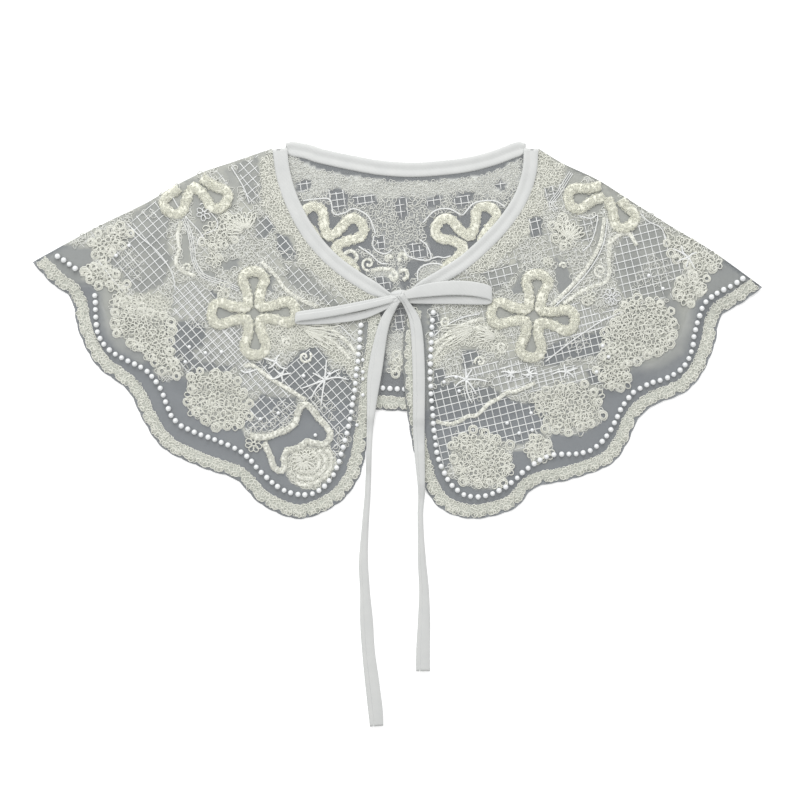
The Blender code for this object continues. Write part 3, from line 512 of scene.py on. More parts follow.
def lengths_along(line):
    """How far along the line each of its points is."""
    return np.concatenate([[0], np.cumsum(np.linalg.norm(np.diff(line, axis=0), axis=1))])


def even_line(line, step):
    """The same line with its points step mm apart."""
    along = lengths_along(line)
    stops = np.linspace(0, along[-1], max(2, round(along[-1] / step) + 1))
    return np.column_stack([np.interp(stops, along, line[:, k]) for k in range(line.shape[1])])


def left_of(line):
    """The unit direction to the left of the line's run at each point."""
    run = np.gradient(line[:, :2], axis=0)
    run /= np.linalg.norm(run, axis=1)[:, None] + 1e-9
    return np.column_stack([-run[:, 1], run[:, 0]])


def distance_to_line(points, line):
    """How far each point is from the line."""
    points = np.asarray(points)
    best = np.full(len(points), np.inf)
    for start, end in zip(line[:-1], line[1:]):
        run = end - start
        reach = points - start
        along = np.clip(reach @ run / max(run @ run, 1e-12), 0, 1)
        best = np.minimum(best, ((reach - along[:, None] * run) ** 2).sum(1))
    return np.sqrt(best)


def inside(points, outline):
    """Whether each point is inside the outline."""
    x, y = points[..., 0], points[..., 1]
    odd = np.zeros(x.shape, bool)
    for (x0, y0), (x1, y1) in zip(outline, np.roll(outline, -1, axis=0)):
        if y0 != y1:
            odd ^= ((y0 > y) != (y1 > y)) & (x < x0 + (y - y0) * (x1 - x0) / (y1 - y0))
    return odd


def in_areas(points, areas):
    """Whether each point is in any of the chart's areas."""
    found = np.zeros(points.shape[:-1], bool)
    for area in areas:
        found |= inside(points, chart(area))
    return found


def in_petals(points, panel):
    """Whether each point is inside a petal of a raised flower."""
    found = np.zeros(points.shape[:-1], bool)
    for flower in FLOWERS[panel.side]:
        found |= inside(points, flower_line(flower))
    return found


def smooth_step(value):
    """Goes softly from 0 to 1 as the value does."""
    value = np.clip(value, 0, 1)
    return value * value * (3 - 2 * value)


def uneven(points, size, seed):
    """Soft unevenness from -1 to 1 over about size mm, the same for the same seed."""
    rng = np.random.default_rng(seed)
    total = np.zeros(points.shape[:-1])
    for _ in range(7):
        turn, phase = rng.uniform(0, 2 * math.pi, 2)
        pitch = size * rng.uniform(0.7, 1.7)
        along = points[..., 0] * math.cos(turn) + points[..., 1] * math.sin(turn)
        total += np.sin(along * 2 * math.pi / pitch + phase)
    return total / 4


class Panel:
    """One panel of the collar: its outline and how high its organza lies."""

    STEP = 1.5

    def __init__(self, side):
        self.side = side
        self.areas = AREAS[side]
        self.outline, self.edge = self.front_outline() if side != "back" else self.back_outline()
        self.low = self.outline.min(0) - 4 * self.STEP
        size = np.ceil((self.outline.max(0) - self.low) / self.STEP).astype(int) + 4
        xs, ys = (self.low[k] + np.arange(size[k]) * self.STEP for k in (0, 1))
        grid = np.stack(np.meshgrid(xs, ys, indexing="ij"), -1)
        self.heights = self.lie(grid)

    def front_outline(self):
        fold = smooth_line(FOLD[self.side], 2.5)
        hem = scalloped(even_line(hem_line(self.side), 1.25), self.side)
        neck = smooth_line(NECK[self.side], 3.0)[::-1]
        neck = neck[neck[:, 1] > hem[-1, 1] + 5.0]
        return np.vstack([fold, hem[1:], neck[:-1]]), hem

    def back_outline(self):
        left = smooth_line(FOLD["left"], 2.5)[:-2]
        right = smooth_line(FOLD["right"], 2.5)[:-2]
        left = left + left_of(left) * 1.6
        right = right - left_of(right) * 1.6
        hem = scalloped(even_line(hem_line("back"), 1.25), "left")
        neck = smooth_line(NECK["back"], 3.0)[::-1]
        neck = neck[(neck[:, 0] > left[0, 0] + 3) & (neck[:, 0] < right[0, 0] - 3)]
        return np.vstack([left, hem, right[::-1], neck]), hem

    def lie(self, grid):
        """The organza's middle height over a grid: on the part's own solid, with small creases."""
        if self.side == "back":
            return BACK_RISE + 0.12 * (1 + uneven(grid, 46, 5))
        under = under_heights(f"front_{self.side}_panel", grid)
        fold = smooth_line(FOLD[self.side], 5.0)
        away = distance_to_line(grid.reshape(-1, 2), fold).reshape(grid.shape[:2])
        under[away < FOLD_ROUND + 0.6] = np.nan
        under = spread_out(under)
        crease = 0.16 * (1 + uneven(grid, 60, 8)) + crease_heights(grid, self.side)
        drop = FOLD_DROP * np.clip(1 - away / FOLD_ROUND, 0, 1) ** 2
        return np.maximum(under + FRONT_RISE + crease * smooth_step(away / 12) - drop, LEAST_RISE)

    def height(self, points):
        """The organza's middle height at each point, between the grid's."""
        at = (points - self.low) / self.STEP
        at = np.clip(at, 0, np.array(self.heights.shape) - 1.001)
        i, j = at[..., 0].astype(int), at[..., 1].astype(int)
        u, v = at[..., 0] - i, at[..., 1] - j
        h = self.heights
        return (h[i, j] * (1 - u) + h[i + 1, j] * u) * (1 - v) + (h[i, j + 1] * (1 - u) + h[i + 1, j + 1] * u) * v

    def on(self, points, lift):
        """Points laid on the organza, lift mm above it."""
        return np.concatenate([points, (self.height(points) + lift)[..., None]], -1)


# Main creases of the fronts. Columns: x0, y0, x1, y1, half width, height in mm
CREASES = {
    "left": (
        (-150, 138, -176, 60, 9, 0.7), (-112, 120, -140, 20, 8, 0.45), (-60, 60, -72, -28, 8, 0.5),
        (-196, 96, -176, 74, 5, 0.5),
    ),
    "right": (
        (150, 128, 172, 52, 9, 0.7), (112, 116, 126, 4, 8, 0.4), (52, 60, 64, -30, 9, 0.5),
        (196, 90, 182, 60, 5, 0.5),
    ),
}


def crease_heights(grid, side):
    """How much the main creases raise a front at each grid point."""
    total = np.zeros(grid.shape[:2])
    for x0, y0, x1, y1, half, height in CREASES[side]:
        away = distance_to_line(grid.reshape(-1, 2), np.array(((x0, y0), (x1, y1)), float)).reshape(grid.shape[:2])
        total += height * np.exp(-((away / half) ** 2))
    return total


def solid_tree(node):
    """A solid of the frame, ready for rays."""
    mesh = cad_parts[node].data
    mesh.calc_loop_triangles()
    return BVHTree.FromPolygons([v.co.copy() for v in mesh.vertices], [tuple(t.vertices) for t in mesh.loop_triangles])


def under_heights(node, grid):
    """The height of a solid's underside at each grid point, in mm, found by a ray from below."""
    tree = solid_tree(node)
    heights = np.full(grid.shape[:2], np.nan)
    for i, j in np.ndindex(heights.shape):
        x, y = grid[i, j] * MM
        spot = tree.ray_cast(Vector((x, y, -0.01)), Vector((0, 0, 1)))[0]
        if spot is not None:
            heights[i, j] = spot.z / MM
    return heights


def spread_out(heights):
    """Fills the grid points that have no height from their neighbours."""
    heights = heights.copy()
    for _ in range(14):
        empty = np.isnan(heights)
        if not empty.any():
            break
        around = np.stack([np.roll(heights, step, axis) for step in (1, -1) for axis in (0, 1)])
        known = ~np.isnan(around)
        total = np.where(known, around, 0).sum(0)
        count = known.sum(0)
        fill = empty & (count > 0)
        heights[fill] = (total / np.maximum(count, 1))[fill]
    return np.where(np.isnan(heights), np.nanmean(heights), heights)


# The border's small scallops: their pitch, and how far the cut hem follows them, in mm
SCALLOP = 10.0
SCALLOP_DEPTH = 0.6


def scalloped(line, side):
    """A hem cut close to its border's small scallops."""
    along = lengths_along(line)
    cut = SCALLOP_DEPTH * (1 - np.abs(np.sin(math.pi * along / SCALLOP)) ** 0.6)
    return line + left_of(line) * cut[:, None] * (1 if side == "left" else -1)


# Meshes

def mesh_piece(name, points, faces, finish, replaces=()):
    """A piece from points in mm and triangles, smooth shaded and riding on the collar."""
    faces = np.asarray(faces, np.int32)
    mesh = bpy.data.meshes.new(name)
    mesh.vertices.add(len(points))
    mesh.vertices.foreach_set("co", (np.asarray(points) * MM).ravel())
    mesh.loops.add(faces.size)
    mesh.loops.foreach_set("vertex_index", faces.ravel())
    mesh.polygons.add(len(faces))
    mesh.polygons.foreach_set("loop_start", np.arange(0, faces.size, 3, dtype=np.int32))
    mesh.update(calc_edges=True)
    mesh.materials.append(finish)
    mesh.shade_smooth()
    piece = bpy.data.objects.new(name, mesh)
    bpy.context.scene.collection.objects.link(piece)
    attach(piece, "root")
    if replaces:
        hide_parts(*replaces)
    return piece


class Yarn:
    """Lengths of thread of one kind, gathered into one piece."""

    def __init__(self):
        self.points, self.faces, self.count = [], [], 0

    def add(self, points, faces):
        """Takes in points and their triangles."""
        self.points.append(points)
        self.faces.append(faces + self.count)
        self.count += len(points)

    def lay(self, lines, radius, closed=False, sides=3, flat=1.0):
        """Threads along lines, N x K x 3 in mm. radius is one number, or one for each point."""
        lines = np.asarray(lines, float)
        if lines.ndim == 2:
            lines = lines[None]
        if not len(lines):
            return
        number, long, _ = lines.shape
        if closed:
            run = np.roll(lines, -1, 1) - np.roll(lines, 1, 1)
        else:
            run = np.gradient(lines, axis=1)
        side = np.stack([-run[..., 1], run[..., 0], 0 * run[..., 0]], -1)
        side /= np.linalg.norm(side, axis=-1, keepdims=True) + 1e-9
        radius = np.broadcast_to(radius, (number, long))[..., None]
        turns = math.pi / 2 + 2 * math.pi * np.arange(sides) / sides
        rings = [
            lines + radius * (math.cos(turn) * side + math.sin(turn) * flat * np.array((0, 0, 1.0))) for turn in turns
        ]
        points = np.stack(rings, 2).reshape(-1, 3)
        span = long if closed else long - 1
        k = np.arange(span)[:, None]
        s = np.arange(sides)[None]
        here, after = k * sides, ((k + 1) % long) * sides
        a, b = here + s, here + (s + 1) % sides
        c, d = after + (s + 1) % sides, after + s
        quads = np.concatenate([np.stack([a, d, c], -1).reshape(-1, 3), np.stack([a, c, b], -1).reshape(-1, 3)])
        if not closed:
            last = (long - 1) * sides
            fans = [(0, i, i + 1) for i in range(1, sides - 1)]
            fans += [(last, last + i + 1, last + i) for i in range(1, sides - 1)]
            quads = np.concatenate([quads, np.array(fans)])
        faces = (quads[None] + (np.arange(number) * long * sides)[:, None, None]).reshape(-1, 3)
        self.add(points, faces)

    def piece(self, name, finish, slot):
        """Makes the piece, if any thread was laid."""
        if self.points:
            mesh_piece(name, np.concatenate(self.points), np.concatenate(self.faces), finish)


def strip_faces(count, size):
    """Triangles over a closed strip of count sections with size points each, its ends closed."""
    k = np.arange(count - 1)[:, None] * size
    s = np.arange(size)[None]
    a, b = k + s, k + (s + 1) % size
    c, d = b + size, a + size
    sides = [np.stack(corners, -1).reshape(-1, 3) for corners in ((a, b, c), (a, c, d))]
    last = (count - 1) * size
    caps = [(0, i + 1, i) for i in range(1, size - 1)] + [(last, last + i, last + i + 1) for i in range(1, size - 1)]
    return np.vstack([*sides, np.array(caps)])


def filled(outline, step, seed):
    """Triangles over an outline, with evenly scattered points inside."""
    rng = np.random.default_rng(seed)
    low, high = outline.min(0), outline.max(0)
    rows = []
    for j, y in enumerate(np.arange(low[1], high[1], step * math.sqrt(0.75))):
        xs = np.arange(low[0] + (j % 2) * step / 2, high[0], step)
        rows.append(np.column_stack([xs, np.full(len(xs), y)]))
    grid = np.vstack(rows)
    grid += rng.uniform(-0.12, 0.12, grid.shape) * step
    grid = grid[inside(grid, outline)]
    grid = grid[distance_to_line(grid, np.vstack([outline, outline[:1]])) > 0.45 * step]
    points = [Vector(p) for p in np.vstack([outline, grid])]
    edges = [(i, (i + 1) % len(outline)) for i in range(len(outline))]
    found, _, faces, origins, _, _ = geometry.delaunay_2d_cdt(points, edges, [], 1, 0.001)
    place = {source: i for i, sources in enumerate(origins) for source in sources}
    rim = [place[i] for i in range(len(outline))]
    return np.array([tuple(p) for p in found]), np.array(faces), np.array(rim)


# The tints at the turned-under shoulder fold, where cloth lies on cloth: painted paleness standing in for the light the
# turned-under layer sends back
FOLD_TINTS = {"painted_layer_pale": 0.6, "stitches_and_painted_pale": 0.2}


def make_organza(panel, finish, node, over):
    """A panel's sheet of organza, a thin closed shell on the solid's form."""
    flat, faces, rim = filled(panel.outline, 2.3, 11)
    height = panel.height(flat)
    points = np.vstack([np.column_stack([flat, height + ORGANZA / 2]), np.column_stack([flat, height - ORGANZA / 2])])
    count = len(flat)
    near, far = rim, np.roll(rim, -1)
    walls = np.vstack([np.column_stack([near + count, far + count, far]), np.column_stack([near + count, far, near])])
    faces = np.vstack([faces, faces[:, ::-1] + count, walls])
    # Painted light: the organza is painted paler where a front lies over the back, less so over the open net, standing
    # in for the light the back sends up through it
    open_net = 1 - 0.65 * in_areas(flat, panel.areas["net"])
    layers = {"painted_layer_pale": np.tile(over(flat) * open_net, 2), "stitches_and_painted_pale": np.tile(stitch_cover_and_painted_mist(panel, flat), 2)}
    if panel.side != "back":
        lip, lip_faces = fold_lip(panel)
        faces = np.vstack([faces, lip_faces + len(points)])
        points = np.vstack([points, lip])
        for name, value in FOLD_TINTS.items():
            layers[name] = np.concatenate([layers[name], np.full(len(lip), value)])
    name = "organza_back" if panel.side == "back" else f"organza_front_{panel.side}"
    piece = mesh_piece(name, points, faces, finish, (node,))
    for name, values in layers.items():
        piece.data.attributes.new(name, "FLOAT", "POINT").data.foreach_set("value", values.astype(np.float32))
    return piece


def opening_outline():
    """The part of the back that shows inside the neck and between the fronts."""
    left, right = smooth_line(NECK["left"], 3.0), smooth_line(NECK["right"], 3.0)
    return np.vstack([left, chart(((386, 420), (411, 420))), right[::-1]])


# Where more than one layer lies under a front: a pale mist painted on, standing in for the light the layers below send
# back through it, on the chart
MIST = {
    "left": (
        ((100, 225), (145, 195), (190, 180), (230, 165), (262, 155), (268, 200), (262, 240), (230, 262), (200, 290),
         (160, 300), (120, 300), (95, 275)),
        ((262, 255), (300, 262), (345, 300), (330, 315), (290, 300)),
        ((104, 286), (122, 296), (114, 306), (118, 330), (134, 350), (150, 362), (140, 362), (118, 348), (106, 330),
         (101, 305)),
    ),
    "right": (
        ((700, 240), (660, 205), (600, 175), (560, 158), (545, 200), (560, 250), (600, 300), (640, 312), (690, 290)),
        ((470, 275), (520, 255), (525, 275), (490, 300)),
        ((676, 300), (696, 294), (692, 330), (684, 354), (664, 368), (640, 372), (648, 356), (668, 346), (680, 326)),
    ),
}

# How much of the organza the backing stitches cover, with less under the back's motif. MIST_COVER is
# how much the painted mist pales a front where layers lie below it, standing in for the light they send back
BACKING = {"motif": 0.68, "dense": 0.8, "cluster": 0.55, "net": 0.0, "grid": 0.5, "bare": 0.0}
BACK_MOTIF_BACKING = 0.25
MIST_COVER = 0.36


def stitch_cover_and_painted_mist(panel, flat):
    """How far the backing stitches hide the organza at each point, from 0 to 1, with the painted mist of the layers
    below added in.
    """
    cover = np.zeros(len(flat))
    for kind, share in BACKING.items():
        if kind == "motif" and panel.side == "back":
            share = BACK_MOTIF_BACKING
        cover[in_areas(flat, panel.areas[kind])] = share
    # The painted mist has a soft edge: the share of nine points round each one that lie in its areas
    around = [(0.0, 0.0)] + [(reach * math.cos(k), reach * math.sin(k)) for k in range(0, 7, 2) for reach in (1.5, 3.5)]
    mist = np.mean([in_areas(flat + np.array(step), MIST.get(panel.side, ())) for step in around], 0)
    cover = np.maximum(cover, MIST_COVER * mist)
    cover[in_petals(flat, panel)] *= 0.55
    return np.clip(cover * (1 + 0.25 * uneven(flat, 15, 6)), 0, 1)


# The turned-under edge at the shoulder fold. Columns: distance in from the fold, height, in mm
FOLD_TURN = ((0.25, 1.5), (0.0, 1.15), (0.12, 0.78), (0.55, 0.5), (1.3, 0.4), (2.4, 0.4))


def fold_lip(panel):
    """The organza turning under at the shoulder fold, as a thin closed strip."""
    line = smooth_line(FOLD[panel.side], 2.5)[1:-1]
    inward = left_of(line) * (1 if panel.side == "left" else -1)
    inner = [(depth + 0.15, height + (0.12 if height < 0.7 else 0.0)) for depth, height in FOLD_TURN[::-1]]
    section = [*FOLD_TURN, *inner]
    rings = np.stack([
        np.column_stack([line + inward * depth, np.full(len(line), height)]) for depth, height in section
    ], 1)
    return rings.reshape(-1, 3), strip_faces(len(line), len(section))


# Embroidery

def hexagon_grid(low, high, apart, rng, loose):
    """Points apart mm from each other, each moved by up to loose of that."""
    rows = np.arange(low[1], high[1], apart * math.sqrt(0.75))
    cols = np.arange(low[0], high[0], apart)
    grid = np.stack(np.meshgrid(cols, rows), -1)
    grid[1::2, :, 0] += apart / 2
    grid = grid.reshape(-1, 2)
    return grid + rng.uniform(-loose, loose, grid.shape) * apart


def loops_at(centres, size, rng, corners=8, longest=1.0, shortest=0.5):
    """Small wandering loops of chain stitch round the centres, N x corners x 2."""
    number = len(centres)
    around = np.arange(corners) * 2 * math.pi / corners
    wobble = 1 + 0.16 * rng.standard_normal((number, corners))
    wide = rng.uniform(shortest, longest, (number, 1))
    u = np.cos(around) * wobble
    v = np.sin(around) * wobble * wide
    turn = rng.uniform(0, 2 * math.pi, (number, 1))
    reach = size * rng.uniform(0.75, 1.25, (number, 1))
    x = (u * np.cos(turn) - v * np.sin(turn)) * reach
    y = (u * np.sin(turn) + v * np.cos(turn)) * reach
    return centres[:, None] + np.stack([x, y], -1)


def tilt(rng, number, corners, low, high):
    """Heights of loops that cross over each other, between low and high."""
    base = rng.uniform(low, high, (number, 1))
    phase = rng.uniform(0, 2 * math.pi, (number, 1))
    return base + 0.18 * np.sin(np.arange(corners) * 2 * math.pi / corners + phase)


def vermicelli(yarn, panel, keep, apart, size, thread, rng, low, high, within=None, narrow=0.36):
    """Loops all over the places that keep says, from low to high mm above the organza."""
    corner_low, corner_high = within if within is not None else (panel.outline.min(0), panel.outline.max(0))
    centres = hexagon_grid(corner_low, corner_high, apart, rng, 0.3)
    centres = centres[keep(centres)]
    if not len(centres):
        return
    loops = loops_at(centres, size, rng, 8, 1.0, narrow)
    yarn.lay(panel.on(loops, tilt(rng, len(loops), loops.shape[1], low, high)), thread, closed=True)


def petals_at(centres, reach, petals, rng, corners=8):
    """Flowerlets: petals as loops round each centre, and a small loop in the middle."""
    number = len(centres)
    turns = rng.uniform(0, 2 * math.pi, (number, 1)) + np.arange(petals) * 2 * math.pi / petals
    turns = turns + rng.uniform(-0.18, 0.18, turns.shape)
    size = reach * rng.uniform(0.85, 1.15, (number, petals))
    around = np.arange(corners) * 2 * math.pi / corners
    out = 0.6 + 0.4 * np.cos(around)
    across = 0.3 * np.sin(around)
    x = out * size[..., None]
    y = across * size[..., None]
    cos, sin = np.cos(turns)[..., None], np.sin(turns)[..., None]
    loops = np.stack([x * cos - y * sin, x * sin + y * cos], -1) + centres[:, None, None]
    return loops.reshape(-1, corners, 2)


def bounds_of(area):
    """The two corners of an area's box, in mm."""
    points = chart(area)
    return points.min(0), points.max(0)


# Layers of net. Columns: kind of area, thread's radius and height in mm, degrees askew. Only the
# fronts have one under the motif, where nothing else is, and the half-hidden net has two.
NET_LAYERS = (("net", 0.42, 0.28, 0), ("grid", 0.44, 0.3, 0), ("motif", 0.3, 0.16, 0), ("grid", 0.26, 0.24, 4))


def make_net(panel, finish):
    """The straight white mesh, stitched both ways over the organza."""
    yarn, rng = Yarn(), np.random.default_rng(21)
    first_turn, pitch = NET[panel.side]
    others = [area for kind in ("net", "grid", "dense", "cluster", "bare") for area in panel.areas[kind]]
    layers = [(area, *row) for row in NET_LAYERS for area in panel.areas[row[0]]]
    for area, kind, thread, lift, askew in layers:
        if kind == "motif" and panel.side == "back":
            continue
        turn = first_turn + askew
        low, high = bounds_of(area)
        middle, reach = (low + high) / 2, np.linalg.norm(high - low) / 2 + pitch
        for angle in (math.radians(turn), math.radians(turn + 90)):
            along = np.array((math.cos(angle), math.sin(angle)))
            across = np.array((-along[1], along[0]))
            first = math.ceil((middle @ across - reach) / pitch)
            for step in range(first, first + int(2 * reach / pitch) + 1):
                offset = step * pitch + rng.uniform(-0.12, 0.12)
                t = np.arange(-reach, reach, 1.0)
                line = middle + along * t[:, None] + across * (offset - middle @ across)
                line = line + across * (0.14 * np.sin(t / 9 + step * 1.7))[:, None]
                keep = in_areas(line, (area,)) & ~in_petals(line, panel) & inside_by(line, panel, 1.0)
                if kind == "motif":
                    keep &= ~in_areas(line, others)
                for run in runs_of(keep):
                    if len(run) > 3:
                        yarn.lay(panel.on(line[run][::3] if len(run) > 8 else line[run], lift), thread, flat=0.8)
    yarn.piece(f"net_{panel.side}", finish, "cord")


def runs_of(mask):
    """The stretches of a mask that hold, as lists of indices."""
    edges = np.flatnonzero(np.diff(np.concatenate([[0], mask.astype(int), [0]])))
    return [np.arange(start, end) for start, end in zip(edges[::2], edges[1::2])]


def make_fill(panel, finish_loose, finish_dense):
    """Vermicelli: loose over most of the motifs, close beside the neckline and on the leaves."""
    areas = panel.areas
    rng = np.random.default_rng(31)
    tape_line = smooth_line(TAPE_LINES[panel.side], 3.0)

    def quiet(points):
        """Where no petal, tape, edge or open place is."""
        found = ~in_areas(points, areas["bare"]) & ~in_petals(points, panel) & inside_by(points, panel, 1.0)
        return found & (distance_to_line(points, tape_line) > HIDDEN_BY_TAPE)

    def loose(points):
        found = in_areas(points, areas["motif"]) & quiet(points)
        found &= ~in_areas(points, areas["net"] + areas["grid"] + areas["dense"] + areas["cluster"])
        return found & ((uneven(points, 17, 3) > -0.5) | (panel.side == "back"))

    def dense(points):
        return in_areas(points, areas["dense"]) & quiet(points) & ~in_areas(points, areas["net"])

    def veil(points):
        """Where the net is half hidden by a few loops."""
        return in_areas(points, areas["net"]) & quiet(points) & (uneven(points, 30, 14) > 0.5)

    light, close = Yarn(), Yarn()
    if panel.side == "back":
        seen = opening_outline()

        def shown(points):
            return loose(points) & inside(points, seen)

        def covered(points):
            return loose(points) & ~inside(points, seen)

        vermicelli(light, panel, shown, 2.7, 1.6, 0.36, rng, 0.2, 0.44)
        vermicelli(light, panel, covered, 6.0, 2.4, 0.4, rng, 0.22, 0.44)
        vermicelli(close, panel, dense, 1.9, 1.1, 0.32, rng, 0.18, 0.36)
    else:
        vermicelli(close, panel, dense, 2.3, 1.6, 0.46, rng, 0.1, 0.4)
        vermicelli(light, panel, loose, 2.75, 1.85, 0.42, rng, 0.14, 0.45)
        vermicelli(light, panel, veil, 3.8, 1.9, 0.32, rng, 0.12, 0.4)
    light.piece(f"fill_{panel.side}", finish_loose, "cord")
    close.piece(f"dense_fill_{panel.side}", finish_dense, "cord")


def inside_by(points, panel, margin):
    """Whether each point is inside the panel by more than the margin."""
    found = inside(points, panel.outline)
    near = distance_to_line(points[found], np.vstack([panel.outline, panel.outline[:1]])) > margin
    found[found] = near
    return found


def make_clusters(panel, finish):
    """Clusters of flowerlets: small open petals in chain stitch, loops between them, and rings along their edges."""
    yarn, rng = Yarn(), np.random.default_rng(41)
    for area in panel.areas["cluster"]:
        low, high = bounds_of(area)

        def within(points):
            return in_areas(points, (area,)) & ~in_areas(points, panel.areas["bare"]) & inside_by(points, panel, 2.6)

        middles = hexagon_grid(low - 4, high + 4, 9.2, rng, 0.2)
        middles = middles[within(middles)]
        if len(middles):
            petals = petals_at(middles, 5.2, 6, rng)
            yarn.lay(panel.on(petals, tilt(rng, len(petals), 8, 0.55, 0.95)), 0.5, closed=True, flat=0.8)
        vermicelli(yarn, panel, within, 3.3, 2.0, 0.42, rng, 0.25, 0.75, (low, high), 0.25)
        outline = chart(area)
        ring = even_line(np.vstack([outline, outline[:1]]), 7.8)[:-1]
        middle = outline.mean(0)
        out = (ring - middle) / np.linalg.norm(ring - middle, axis=1)[:, None]
        # Every third ring sits further out
        step = np.where(np.arange(len(ring)) % 3 == 1, 1.6, -0.8)
        ring = ring + rng.uniform(-0.7, 0.7, ring.shape) + out * step[:, None]
        ring = ring[inside_by(ring, panel, 4.0) & ~in_areas(ring, panel.areas["bare"])]
        around = np.arange(10) * math.pi / 5
        reach = rng.uniform(2.3, 3.0, (len(ring), 1)) * (1 + 0.06 * rng.standard_normal((len(ring), 10)))
        shape = reach[..., None] * np.stack([np.cos(around), np.sin(around)], -1)
        for share, lift in ((1.0, 0.45), (0.66, 0.6)):
            yarn.lay(panel.on(ring[:, None] + shape * share, lift + 0.1 * np.sin(around)), 0.62, closed=True, flat=0.8)
    yarn.piece(f"flowerlets_{panel.side}", finish, "cord")


def flower_line(flower):
    """The middle line of a flower's cord, in and out of its four petals."""
    x, y, petals = flower
    ring = []
    for turn in sorted(petals):
        out, side = (np.array(column) for column in zip(*PETAL))
        along = np.concatenate([out, [PETAL_TIP], out[::-1]])
        half = np.concatenate([-side, [0.0], side[::-1]])
        cos, sin = math.cos(math.radians(turn)), math.sin(math.radians(turn))
        ring.extend(zip(x + along * cos - half * sin, y + along * sin + half * cos))
    ring = np.array(ring)
    return np.vstack([ring, ring[:2]]) if len(petals) > 2 else ring


def fuzzy_cord(yarn, panel, line, width, top, rng, keep=None):
    """A thick soft cord: a flattened core under close loops that stand up from it."""
    line = even_line(smooth_line(line, 1.0), 1.6)
    for run in runs_of(keep(line)) if keep is not None else [np.arange(len(line))]:
        if len(run) < 4:
            continue
        part = line[run]
        core = panel.on(part, top * 0.34)
        lumps = 1 + 0.05 * rng.standard_normal(len(part))
        yarn.lay(core, (width * 0.42 * lumps)[None], sides=8, flat=top * 0.95 / width)
        number = int(lengths_along(part)[-1] * width / 1.3)
        at = rng.uniform(0, len(part) - 1.001, number)
        first = at.astype(int)
        share = (at - first)[:, None]
        middle = part[first] * (1 - share) + part[first + 1] * share
        across = rng.uniform(-1, 1, number)
        across = np.sign(across) * np.abs(across) ** 0.8
        centres = middle + left_of(part)[first] * (across * width * 0.42)[:, None]
        # The back's flowers have their fuzz only where they show
        if panel.side == "back" and len(run) > 60:
            shown = inside(centres, opening_outline())
            centres, across = centres[shown], across[shown]
            number = len(centres)
        loops = loops_at(centres, 0.09 * width + 0.2, rng, 6, 0.9, 0.45)
        crown = top * (0.2 + 0.62 * np.sqrt(np.clip(1 - across**2, 0, 1)))
        lift = crown[:, None] + 0.12 * np.sin(np.arange(6) * math.pi / 3 + rng.uniform(0, 6.3, (number, 1)))
        yarn.lay(panel.on(loops, lift), 0.25, closed=True)


def make_flowers(panel, finish):
    """The raised four-petalled flowers, couched in thick cord."""
    yarn, rng = Yarn(), np.random.default_rng(51)

    def keep(line):
        return inside_by(line, panel, 2.2)

    for flower in FLOWERS[panel.side]:
        fuzzy_cord(yarn, panel, flower_line(flower), CORD_WIDTH, CORD_TOP[panel.side], rng, keep)
    yarn.piece(f"cord_flowers_{panel.side}", finish, "cord")


# The border's padded band: its outer and inner side, in from the hem, and its scallops' depth, in mm
BAND_OUTER = 1.15
BAND_INNER = 8.7
BAND_SCALLOP = 3.0


